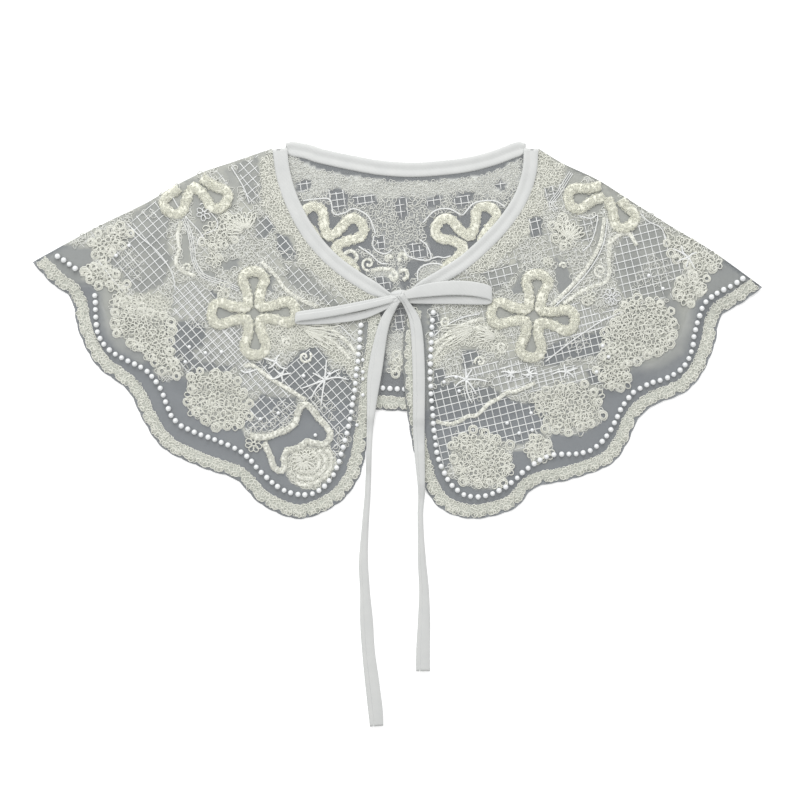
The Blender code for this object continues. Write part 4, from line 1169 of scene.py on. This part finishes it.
def make_border(panel, finish_pad, finish):
    """The border along the hem and up the centre front: a padded band, scalloped at its outer side."""
    pad, yarn, rng = Yarn(), Yarn(), np.random.default_rng(61)
    hem = even_line(hem_line(panel.side), 0.8)
    inward = left_of(hem) * (-1 if panel.side == "right" else 1)
    inward = np.column_stack([np.convolve(np.pad(inward[:, k], 4, "edge"), np.full(9, 1 / 9), "valid") for k in (0, 1)])
    inward /= np.linalg.norm(inward, axis=1)[:, None]
    along = lengths_along(hem)
    drift = 1.2 * np.sin(along / 23.0) + 0.8 * np.sin(along / 9.7)

    def place(s, depth):
        """Points s mm along the hem and depth mm in from it."""
        spot = np.stack([np.interp(s, along, hem[:, k]) for k in (0, 1)], -1)
        way = np.stack([np.interp(s, along, inward[:, k]) for k in (0, 1)], -1)
        return spot + way * depth[..., None]

    def scallop(s):
        """How far the band's outer edge steps back at s, deepest in the notches."""
        s = s + np.interp(s, along, drift)
        return BAND_SCALLOP * (1 - np.abs(np.sin(math.pi * s / SCALLOP)) ** 0.38)

    def ring_up(spots, margin, size, corners, narrow, low, high, thread):
        """Loops round the spots that are inside by the margin."""
        spots = spots[inside_by(spots, panel, margin)]
        loops = loops_at(spots, size, rng, corners, 1.0, narrow)
        yarn.lay(panel.on(loops, tilt(rng, len(loops), corners, low, high)), thread, closed=True, flat=0.8)

    # The padded band: its outer side, crown and inner side, laid closed
    outer = BAND_OUTER + scallop(along)
    inner = BAND_INNER + 0.25 * np.sin(along / 6.1)
    columns = (
        (outer, 0.0), (outer + 0.35, 0.3), (outer * 0.6 + inner * 0.4, 0.42), (inner - 0.4, 0.34), (inner, 0.0),
    )
    keep = inside_by(place(along, outer), panel, 0.2) & inside_by(place(along, inner), panel, 0.4)
    for run in runs_of(keep):
        if len(run) < 6:
            continue
        rings = np.stack([
            panel.on(place(along[run], depth[run]), np.full(len(run), rise)) for depth, rise in columns
        ], 1)
        faces = strip_faces(len(run), len(columns))
        pad.add(rings.reshape(-1, 3), faces if panel.side == "right" else faces[:, ::-1])
    # Small loops over the band, larger ones in its scallops and a chain along its inner edge
    grid = hexagon_grid((0.0, 0.0), (along[-1], 9.6), 3.1 if panel.side != "back" else 3.9, rng, 0.28)
    grid = grid[(grid[:, 1] > 2.3 + scallop(grid[:, 0])) & (grid[:, 1] < 7.9)]
    ring_up(place(grid[:, 0], grid[:, 1]), 1.2, 1.6, 8, 0.55, 0.38, 0.55, 0.42)
    s = np.arange(0.6, along[-1] - 0.6, 2.5)
    s = s + rng.uniform(-0.35, 0.35, len(s))
    s = s[scallop(s) < 1.3]
    ring_up(place(s, 2.5 + scallop(s)), 1.4, 1.4, 9, 0.75, 0.35, 0.55, 0.42)
    s = np.arange(1, along[-1] - 1, 1.9)
    ring_up(place(s, 8.1 + rng.uniform(-0.25, 0.25, len(s))), 0.8, 1.0, 7, 0.6, 0.35, 0.5, 0.36)
    pad.piece(f"hem_band_{panel.side}", finish_pad, "cord")
    yarn.piece(f"hem_loops_{panel.side}", finish, "cord")


def make_lines(panel, finish_cream, finish_white):
    """Drawn lines of the pattern: leaf cords, stems, threads, spirals and sprays."""
    rng = np.random.default_rng(71)
    cream, white = Yarn(), Yarn()
    for kind, points in rows_of(LINES, panel):
        line = smooth_line(chart(points), 1.5)
        line = line[inside_by(line, panel, 1.0)]
        if len(line) < 3:
            continue
        if kind == "cord":
            fuzzy_cord(cream, panel, line[::2], 4.6, 1.6, rng)
        elif kind == "stem":
            fuzzy_cord(cream, panel, line[::3], 2.9, 1.0, rng)
        elif kind == "edge":
            white.lay(panel.on(line, 0.45), 0.75)
        elif kind == "twin":
            for offset in (-1.2, 0.0, 1.2):
                white.lay(panel.on(line + left_of(line) * offset, 0.5), 0.42)
        else:
            white.lay(panel.on(line, 0.5), 0.6)
    for x, y, radius, turn in rows_of(SPIRALS, panel):
        t = np.linspace(0.12, 1.0, 26)
        angle = math.radians(turn) + t * 2 * math.pi * 1.6
        line = chart((x, y)) + (radius * SQUARE * t)[:, None] * np.column_stack([np.cos(angle), np.sin(angle)])
        fuzzy_cord(cream, panel, line[::2], 1.8, 0.9, rng)
    for x, y, reach, petals, thread in rows_of(ROSETTES, panel):
        loops = petals_at(chart((x, y))[None], reach, petals, rng, 10)
        yarn = white if thread == "white" else cream
        yarn.lay(panel.on(loops, tilt(rng, len(loops), 10, 0.7, 1.0)), 0.46, closed=True)
        ring = loops_at(chart((x, y))[None], 1.3, rng, 8, 1.0, 0.9)
        yarn.lay(panel.on(ring, 1.0 + 0 * ring[..., 0]), 0.5, closed=True)
    for x, y, first, last, number, reaches in rows_of(FANS, panel):
        around = np.arange(14) * math.pi / 7
        for reach in reaches:
            turns = np.radians(np.linspace(first, last, number) + rng.uniform(-3, 3, number))[:, None]
            long = reach * rng.uniform(0.92, 1.05, (number, 1)) * (0.62 + 0.38 * np.cos(around))
            wide = reach * math.radians(abs(last - first)) / number * 0.44 * np.sin(around)
            cos, sin = np.cos(turns), np.sin(turns)
            loops = np.stack([long * cos - wide * sin, long * sin + wide * cos], -1)
            cream.lay(panel.on(loops + chart((x, y)), 0.75 + 0.12 * np.sin(around + turns)), 0.6, closed=True)
    for x, y, arms in rows_of(SPRAYS, panel):
        middle = chart((x, y))
        for turn, reach in arms:
            angle = math.radians(turn)
            t = np.linspace(0, 1, 8)
            bend = 0.16 * reach * SQUARE * np.sin(t * math.pi) * rng.uniform(-1, 1)
            line = middle + np.outer(t * reach * SQUARE, (math.cos(angle), math.sin(angle)))
            line = line + np.outer(bend, (-math.sin(angle), math.cos(angle)))
            white.lay(panel.on(line, 0.75), (0.74 - 0.34 * t)[None], sides=4)
        ring = loops_at(middle + rng.uniform(-0.8, 0.8, (3, 2)), 0.9, rng)
        white.lay(panel.on(ring, 0.75 + 0 * ring[..., 0]), 0.3, closed=True)
    cream.piece(f"stems_{panel.side}", finish_cream, "cord")
    white.piece(f"sprays_{panel.side}", finish_white, "cord")


# Pearls

# Radius of a pearl and of a bead, the pearls' pitch, and their row's distance from the hem, in mm
PEARL = 1.75
BEAD = 1.25
PEARL_PITCH = 4.6
PEARL_DEPTH = 14.0
# How far below its middle a bead's flat underside is, as a share of its radius
BEAD_FLAT = 0.72


def round_bead(rows=6, around=10):
    """A unit half-drilled pearl: a ball with a slightly flat underside."""
    points = [(0, 0, 1.0)]
    for i in range(1, rows):
        tilt_down = math.pi * i / rows
        for j in range(around):
            turn = 2 * math.pi * j / around
            wide, height = math.sin(tilt_down), max(math.cos(tilt_down), -BEAD_FLAT)
            points.append((wide * math.cos(turn), wide * math.sin(turn), height))
    points.append((0, 0, -BEAD_FLAT))
    faces = [(0, 1 + j, 1 + (j + 1) % around) for j in range(around)]
    for i in range(rows - 2):
        for j in range(around):
            a, b = 1 + i * around + j, 1 + i * around + (j + 1) % around
            faces += [(a, a + around, b + around), (a, b + around, b)]
    last, base = len(points) - 1, 1 + (rows - 2) * around
    faces += [(base + (j + 1) % around, base + j, last) for j in range(around)]
    return np.array(points), np.array(faces)


# The pearl rows, as stations of smooth lines. Columns: x, y in squares
PEARL_ROWS = {
    "left": (
        ((58.6, 256.6), (69.5, 264), (76.2, 268.6)),
        ((95.9, 295.6), (96.5, 315.7), (98, 331.8), (105.4, 345.5), (117.2, 355), (131.2, 362.2), (145, 369.3),
         (155.8, 380.5), (163.4, 394.7), (166.2, 401.8), (172, 415.5), (182, 426), (197, 433), (215, 439.5),
         (234.5, 447.6), (247.9, 457.2), (258, 468), (269, 479.2), (281.3, 488.4), (295, 493.5), (310, 494.2),
         (323.5, 487), (332.7, 475.7), (339, 462.3), (343.1, 447.6), (347, 434.2), (350, 420.6), (352.4, 405.5),
         (354.7, 390.8), (357.5, 365), (359.8, 347), (360.5, 333), (361, 325.5)),
    ),
    "right": (
        ((741.8, 278.8), (730.3, 286.3), (716.5, 293), (704.2, 303.5), (697.9, 318.4), (694.1, 333.7), (691.5, 348.2),
         (685.9, 362.6), (675.2, 373.2), (661.8, 379.5), (647, 384.6), (633.5, 391.9), (623.9, 403.8), (616.6, 417.2),
         (609.8, 430.6), (600.5, 442.3), (588.8, 450.8), (574.4, 453.6), (559.2, 454.2), (548, 456), (538.4, 460.6),
         (526.3, 468.9), (515.2, 479.1), (503.6, 488), (490, 494.1), (475, 496.6), (461, 492.9), (449.8, 482.3),
         (443, 470), (437.7, 455.5), (435.4, 440.8), (433.8, 426), (432, 405), (430.5, 385), (430.5, 365), (431, 345),
         (432, 325), (433, 313)),
    ),
}


def pearl_spots(panel):
    """The middles of the pearls: one row 14 mm inside the hem and up the centre front."""
    rng = np.random.default_rng(81)
    if panel.side == "back":
        line = even_line(hem_line("back"), 1.0)
        line = line + left_of(line) * PEARL_DEPTH
        spots = even_line(line[8:-8], PEARL_PITCH)
        return spots[inside_by(spots, panel, 9.0)]
    spots = np.vstack([even_line(smooth_line(chart(row), 1.0), PEARL_PITCH) for row in PEARL_ROWS[panel.side]])
    return spots + rng.uniform(-0.2, 0.2, spots.shape)


def make_pearls(panel, finish):
    """Pearls along the hem and a few beads among the motifs. The back's are flat half pearls."""
    yarn, rng = Yarn(), np.random.default_rng(82)
    ball, faces = round_bead()
    flat = 0.42 if panel.side == "back" else 1.0
    places = [(spot, PEARL * rng.uniform(0.93, 1.06)) for spot in pearl_spots(panel)]
    places += [(chart(spot), BEAD) for spot in rows_of(BEADS, panel)]
    for spot, radius in places:
        base = panel.on(np.array([spot]), 0.1 + BEAD_FLAT * radius * flat)[0]
        yarn.add(ball * radius * (1, 1, flat) + base, faces)
    yarn.piece(f"pearls_{panel.side}", finish, "pearl")


# Tape

# The bound edge in section. Columns: share of the half width, share of the thickness
BINDING_SECTION = (
    (-1.0, 0.45), (-0.97, 0.18), (-0.86, 0.02), (-0.4, 0.0), (0.4, 0.0), (0.86, 0.0), (0.97, 0.14), (1.0, 0.45),
    (0.97, 0.76), (0.84, 0.96), (0.52, 1.0), (0.26, 0.9), (0.02, 0.74), (-0.18, 0.76), (-0.42, 0.9), (-0.66, 0.95),
    (-0.86, 0.92), (-0.97, 0.72),
)
# A tie in section, its folded edges meeting at one third of its width
TIE_SECTION = (
    (-1.0, 0.45), (-0.95, 0.12), (-0.8, 0.0), (0.0, 0.02), (0.8, 0.0), (0.95, 0.1), (1.0, 0.32), (0.96, 0.58),
    (0.7, 0.7), (0.44, 0.7), (0.36, 0.74), (0.34, 0.96), (0.2, 1.0), (-0.3, 0.98), (-0.8, 0.94), (-0.94, 0.76),
)


def swept(line, widths, thick, section, side=None):
    """Tape swept along a 3-D line; thick and widths are given at each point. Returns points and faces."""
    run = np.gradient(line, axis=0)
    run /= np.linalg.norm(run, axis=1)[:, None] + 1e-9
    if side is None:
        side = np.column_stack([left_of(line), np.zeros(len(line))])
    up = np.cross(run, side)
    up /= np.linalg.norm(up, axis=1)[:, None] + 1e-9
    rings = [
        line + side * (across * widths / 2)[:, None] + up * ((rise - 0.5) * thick)[:, None] for across, rise in section
    ]
    return np.stack(rings, 1).reshape(-1, 3), strip_faces(len(line), len(section))


def solid_heights(node, points):
    """Where the solid's underside and top are over each point, in mm; gaps are filled from beside."""
    tree = solid_tree(node)
    found = []
    for x, y in points[:, :2] * MM:
        low = tree.ray_cast(Vector((x, y, -0.01)), Vector((0, 0, 1)))[0]
        high = tree.ray_cast(Vector((x, y, 0.05)), Vector((0, 0, -1)))[0]
        found.append((low.z / MM, high.z / MM) if low is not None and high is not None else (np.nan, np.nan))
    found = np.array(found)
    order = np.arange(len(found))
    known = ~np.isnan(found[:, 0])
    return [np.interp(order, order[known], found[known, k]) for k in (0, 1)]


def make_binding(name, stations, width, side, finish):
    """Folded tape over the neck edge, slightly drawn and puckered along its length."""
    line = even_line(smooth_line(stations, 1.5), 1.5)
    left = np.linalg.norm(line - line[-1], axis=1)
    right = np.linalg.norm(line - line[0], axis=1)
    ends = smooth_step(np.minimum(left, right) / 4.0)
    narrow = 0.7 + 0.3 * ends if name == "binding_back" else 1 - 0.48 * (1 - smooth_step(left / 17.0))
    low, high = solid_heights(name, line)
    along = lengths_along(line)
    pucker = 0.10 * np.sin(along / 2.9 + 1.2 * np.sin(along / 11.0)) + 0.08 * np.sin(along / 7.3)
    thick = np.maximum(high - low, 1.0) - 0.1 + 0.5 * pucker
    middle = np.column_stack([line, (low + high) / 2])
    section = BINDING_SECTION if side > 0 else tuple((-across, rise) for across, rise in BINDING_SECTION[::-1])
    points, faces = swept(middle, width * narrow + 0.6 * pucker, thick, section)
    points[:, 2] = np.maximum(points[:, 2], 0.05)
    return mesh_piece(f"{name}_tape", points, faces, finish, (name,))


def make_tail(side, finish):
    """One hanging end of the tie, folded along its length."""
    name = f"tie_tail_{side}"
    line = even_line(smooth_line((TAIL_STARTS[side], *TAILS[side]), 1.5), 1.5)
    widths = line[:, 2]
    line = line[:, :2]
    low, high = solid_heights(name, line)
    along = lengths_along(line)
    ripple = 0.12 * np.sin(along / 8.0 + 2.0 * np.sin(along / 31.0))
    rise = TAIL_RISE[side] * np.exp(-((along / 6.0) ** 2)) + 1.2 * np.exp(-((along / 7.0) ** 2))
    middle = np.column_stack([line, (low + high) / 2 + 0.1 * np.sin(along / 12.0) + rise])
    thick = (high - low) * 0.86 + 0.1 * ripple
    section = tuple((-across, rise) for across, rise in TIE_SECTION[::-1])
    points, faces = swept(middle, widths + ripple, thick, section)
    return mesh_piece(f"{name}_tape", points, faces, finish, (name,))


def make_loop(side, finish):
    """A loop of the bow: tape that leaves the knot, folds over at the tip and comes back on itself."""
    line = smooth_line(LOOPS[side], 0.8)
    widths = line[:, 3]
    along = lengths_along(line[:, :3])
    sides = np.tile((0.0, 1.0, 0.0), (len(line), 1))
    thick = 1.1 + 0.08 * np.sin(along / 5.0)
    points, faces = swept(line[:, :3], widths, thick, TIE_SECTION, sides)
    return mesh_piece(f"bow_loop_{side}_tape", points, faces, finish, (f"bow_loop_{side}",))


def make_knot(finish):
    """The knot: a small crowned wrap of tape with the creases that pull into it."""
    rows, around = 28, 44
    cos, sin = math.cos(math.radians(KNOT_TURN)), math.sin(math.radians(KNOT_TURN))
    points, faces = [], []
    for i in range(rows + 1):
        up = math.pi * i / rows
        for j in range(around):
            turn = 2 * math.pi * j / around
            unit = np.array((math.sin(up) * math.cos(turn), math.sin(up) * math.sin(turn), math.cos(up)))
            unit = np.sign(unit) * np.abs(unit) ** 0.8
            x, y, z = unit
            groove = sum(
                depth * math.exp(-(((across * x + up_by * y + shift) / width) ** 2))
                for depth, across, up_by, shift, width in KNOT_CREASES
            )
            waist = 0.09 * math.sin(3 * turn + 0.6) * math.sin(up) + 0.05 * math.cos(5 * turn)
            scale = 1 - groove * max(z + 0.2, 0.0) - waist
            x, y, z = (unit[k] * KNOT_SIZE[k] / 2 * scale for k in range(3))
            points.append((KNOT_MIDDLE[0] + x * cos - y * sin, KNOT_MIDDLE[1] + x * sin + y * cos, KNOT_MIDDLE[2] + z))
    for i in range(rows):
        for j in range(around):
            a, b = i * around + j, i * around + (j + 1) % around
            faces += [(a, a + around, b + around), (a, b + around, b)]
    return mesh_piece("bow_knot_tape", points, faces, finish, ("bow_knot",))


# Finishes

def linear(hex_colour):
    """An sRGB hex colour as linear RGBA."""
    channels = [int(hex_colour[i : i + 2], 16) / 255 for i in (1, 3, 5)]
    return (*[c / 12.92 if c <= 0.04045 else ((c + 0.055) / 1.055) ** 2.4 for c in channels], 1.0)


def add_node(tree, kind, settings=(), values=(), links=()):
    """Adds a node. settings are its own properties, values its inputs' numbers, links its inputs' sources."""
    node = tree.nodes.new(kind)
    for name, value in settings:
        setattr(node, name, value)
    for name, value in values:
        node.inputs[name].default_value = value
    for name, source in links:
        tree.links.new(node.inputs[name], source)
    return node


def start_finish(name, values):
    """A new material, its node tree and its shader with these values."""
    material = bpy.data.materials.new(name)
    material.use_nodes = True
    tree = material.node_tree
    shader = tree.nodes["Principled BSDF"]
    for socket, value in values:
        shader.inputs[socket].default_value = value
    return material, tree, shader


def noise_over(tree, where, size_mm, detail):
    """Noise with patches about size_mm wide."""
    values = (("Scale", 1 / (size_mm * MM)), ("Detail", detail))
    return add_node(tree, "ShaderNodeTexNoise", values=values, links=(("Vector", where.outputs["Object"]),))


def ribs_over(tree, where, direction, size_mm, uneven_by):
    """Fine ribs, about two sizes apart along an axis and three on the diagonal."""
    settings = (("wave_type", "BANDS"), ("bands_direction", direction))
    values = (("Scale", 1 / (size_mm * MM) / 6.28), ("Distortion", uneven_by))
    return add_node(tree, "ShaderNodeTexWave", settings, values, (("Vector", where.outputs["Object"]),))


def reckoned(tree, operation, links, values=(), clamped=False):
    """The result of a sum on the given inputs."""
    settings = (("operation", operation), ("use_clamp", clamped))
    return add_node(tree, "ShaderNodeMath", settings, values, links).outputs[0]


def mixed(tree, factor, first, second):
    """Two colours mixed by factor. Each is a hex colour, or the output of another node."""
    mix = add_node(tree, "ShaderNodeMix", (("data_type", "RGBA"),), links=((0, factor),))
    for socket, colour in ((6, first), (7, second)):
        if isinstance(colour, str):
            mix.inputs[socket].default_value = linear(colour)
        else:
            tree.links.new(mix.inputs[socket], colour)
    return mix.outputs[2]


def mottled(tree, shader, first, second, size_mm):
    """Base colour that drifts between two tones over about size_mm. Returns the coordinates."""
    where = add_node(tree, "ShaderNodeTexCoord")
    noise = noise_over(tree, where, size_mm, 3.0)
    tree.links.new(shader.inputs["Base Color"], mixed(tree, noise.outputs["Fac"], first, second))
    return where


def bumped(tree, shader, height, strength, depth_mm):
    """Relief from the height, by up to depth_mm."""
    values = (("Strength", strength), ("Distance", depth_mm * MM))
    bump = add_node(tree, "ShaderNodeBump", values=values, links=(("Height", height),))
    tree.links.new(shader.inputs["Normal"], bump.outputs["Normal"])


def organza_finish(name, single, painted_layer_pale, backing_colour, clear):
    """Polyester organza, plain woven from fine crisp yarn: sheer, greyish, with a slight dry sheen."""
    values = (("Roughness", 0.55), ("IOR", 1.5), ("Alpha", clear), ("Sheen Weight", 0.15), ("Sheen Roughness", 0.4))
    material, tree, shader = start_finish(name, values)
    where = add_node(tree, "ShaderNodeTexCoord")
    layer = add_node(tree, "ShaderNodeAttribute", (("attribute_name", "painted_layer_pale"),))
    stitches_and_painted_pale = add_node(tree, "ShaderNodeAttribute", (("attribute_name", "stitches_and_painted_pale"),))
    # Where cloth lies on cloth the tint is painted paler, standing in for the light the layer below sends back through
    # it, and uneven by about a third
    noise = noise_over(tree, where, 9, 4.0)
    drift = reckoned(tree, "MULTIPLY_ADD", ((0, noise.outputs["Fac"]),), ((1, 0.35), (2, -0.17)))
    total = reckoned(tree, "ADD", ((0, layer.outputs["Fac"]), (1, drift)), clamped=True)
    cloth = mixed(tree, total, single, painted_layer_pale)
    # Toward the cream of the backing stitches, and of the painted mist where layers lie below
    stitched = mixed(tree, stitches_and_painted_pale.outputs["Fac"], cloth, backing_colour)
    tree.links.new(shader.inputs["Base Color"], stitched)
    # The yarns are 0.15 mm apart; the weave is drawn 1.4 mm apart so that it shows at all
    warp, weft = (ribs_over(tree, where, direction, 0.7, 0.4).outputs["Fac"] for direction in "XY")
    bumped(tree, shader, reckoned(tree, "MAXIMUM", ((0, warp), (1, weft))), 0.25, 0.1)
    return material


def thread_finish(name, pale, deep, rough, sheen):
    """Spun rayon or polyester thread, twisted and dyed: soft, fibrous, with a slight silky sheen."""
    values = (("Roughness", rough), ("IOR", 1.5), ("Sheen Weight", sheen), ("Sheen Roughness", 0.5))
    material, tree, shader = start_finish(name, values)
    where = mottled(tree, shader, pale, deep, 7.0)
    # The twist is about 0.3 mm long; drawn at 0.5 mm
    twist = noise_over(tree, where, 0.5, 2.0)
    bumped(tree, shader, twist.outputs["Fac"], 0.5, 0.15)
    return material


def tape_finish():
    """White polyester binding tape, plain woven and pressed: smooth, fine ribbed, with soft creases."""
    values = (("Roughness", 0.6), ("IOR", 1.5), ("Sheen Weight", 0.25), ("Sheen Roughness", 0.35))
    material, tree, shader = start_finish("white_binding_tape", values)
    where = mottled(tree, shader, "#D2D3D1", "#C4C6C5", 9.0)
    # Ribs across the bias, a fifth as deep as the creases
    weave = ribs_over(tree, where, "DIAGONAL", 0.6, 0.5)
    creases = noise_over(tree, where, 4.0, 3.0)
    links = ((0, weave.outputs["Fac"]), (2, creases.outputs["Fac"]))
    bumped(tree, shader, reckoned(tree, "MULTIPLY_ADD", links, ((1, 0.2),)), 0.3, 0.4)
    return material


def pearl_finish():
    """Moulded imitation pearl with a nacre coat: white, glossy, with a faint warm and cool drift."""
    values = (("Roughness", 0.28), ("IOR", 1.6), ("Coat Weight", 0.6), ("Coat Roughness", 0.12))
    material, tree, shader = start_finish("imitation_pearl", values)
    mottled(tree, shader, "#EFF0EF", "#E2E5E8", 3.0)
    return material


def floor_finish():
    """A plain matt white studio table."""
    values = (("Roughness", 0.9), ("Specular IOR Level", 0.1), ("Emission Strength", 0.3))
    material, _, shader = start_finish("white_table", values)
    shader.inputs["Emission Color"].default_value = linear("#FFFFFF")
    shader.inputs["Base Color"].default_value = linear("#F6F6F6")
    return material


# The set

def make_set():
    """The table, the light and the camera straight above it."""
    bpy.ops.mesh.primitive_plane_add(size=8.0, location=(0, 0, -0.0004))
    table = bpy.context.object
    table.name = "table"
    table.data.materials.append(floor_finish())
    world = bpy.data.worlds.new("studio")
    world.use_nodes = True
    background = world.node_tree.nodes["Background"]
    background.inputs["Color"].default_value = (1, 1, 1, 1)
    background.inputs["Strength"].default_value = 0.66
    bpy.context.scene.world = world
    # Whites stay as white as in the photo
    bpy.context.scene.view_settings.view_transform = "Standard"
    for name, place, size, power in (
        ("soft box behind", (-0.1, 1.45, 1.15), 1.4, 24.0),
        ("soft box left", (-1.1, 0.1, 1.3), 0.8, 4.0),
    ):
        light = bpy.data.lights.new(name, "AREA")
        light.size = size
        light.energy = power
        lamp = bpy.data.objects.new(name, light)
        lamp.location = place
        lamp.rotation_euler = (Vector((0, 0.04, 0)) - Vector(place)).to_track_quat("-Z", "Y").to_euler()
        bpy.context.scene.collection.objects.link(lamp)
    camera = bpy.data.cameras.new("camera")
    camera.lens = 85
    camera.sensor_width = 36
    eye = bpy.data.objects.new("camera", camera)
    eye.location = (0.0016, 0.0208, 1.19)
    bpy.context.scene.collection.objects.link(eye)
    bpy.context.scene.camera = eye


def dress():
    """Dresses every node of the frame."""
    make_set()
    # The second colour is the painted paler tint where layers lie below, the third the cream of the backing stitches,
    # also used for the painted mist
    organza_front = organza_finish("polyester_organza", "#7C8185", "#A3A6A5", "#D3D4C9", 0.6)
    organza_back = organza_finish("polyester_organza_back", "#73777A", "#A3A6A5", "#E2E4DF", 0.6)
    cream = thread_finish("cream_rayon_thread", "#EAEAE2", "#E0E1D7", 0.75, 0.1)
    pad = thread_finish("cream_laid_thread", "#C0C2B9", "#ADB0A7", 0.8, 0.05)
    cord = thread_finish("cream_cord", "#EDEDE1", "#E3E3D5", 0.85, 0.15)
    pale = thread_finish("pale_rayon_thread", "#E6E7E1", "#DBDCD6", 0.7, 0.1)
    white = thread_finish("white_polyester_thread", "#EEEFEE", "#E3E5E4", 0.5, 0.1)
    pearl = pearl_finish()
    tape = tape_finish()
    back = Panel("back")
    for side in ("back", "left", "right"):
        panel = back if side == "back" else Panel(side)
        if side == "back":
            node, finish, over = "back_panel", organza_back, lambda flat: np.zeros(len(flat))
        else:
            node, finish = f"front_{side}_panel", organza_front

            # The mask of the painted paleness where a front lies over the back
            def over(flat):
                """Where a front lies over the back, softly from 0 to 1."""
                edge = back.outline
                away = distance_to_line(flat, np.vstack([edge, edge[:1]]))
                return smooth_step(0.5 + np.where(inside(flat, edge), away, -away) / 3.0)

        make_organza(panel, finish, node, over)
        make_net(panel, white)
        make_fill(panel, pale, pale if side == "back" else cream)
        make_clusters(panel, cream)
        make_flowers(panel, cord)
        make_border(panel, pad, cream)
        make_lines(panel, cream, white)
        make_pearls(panel, pearl)
    # Columns: piece, its length in metres, what it rests on
    tapes = [
        (make_binding("binding_back", TAPE_LINES["back"], BACK_TAPE_WIDTH, 1, tape), 0.158, ["organza_back"]),
        (make_binding("binding_front_left", TAPE_LINES["left"], TAPE_WIDTH, -1, tape), 0.12, ["organza_front_left"]),
        (make_binding("binding_front_right", TAPE_LINES["right"], TAPE_WIDTH, 1, tape), 0.127, ["organza_front_right"]),
        (make_tail("left", tape), 0.266, ["organza_back"]),
        (make_tail("right", tape), 0.231, ["organza_back"]),
        (make_loop("left", tape), 0.090, ["organza_front_left"]),
        (make_loop("right", tape), 0.100, ["organza_front_right"]),
    ]
    make_knot(tape)


dress()
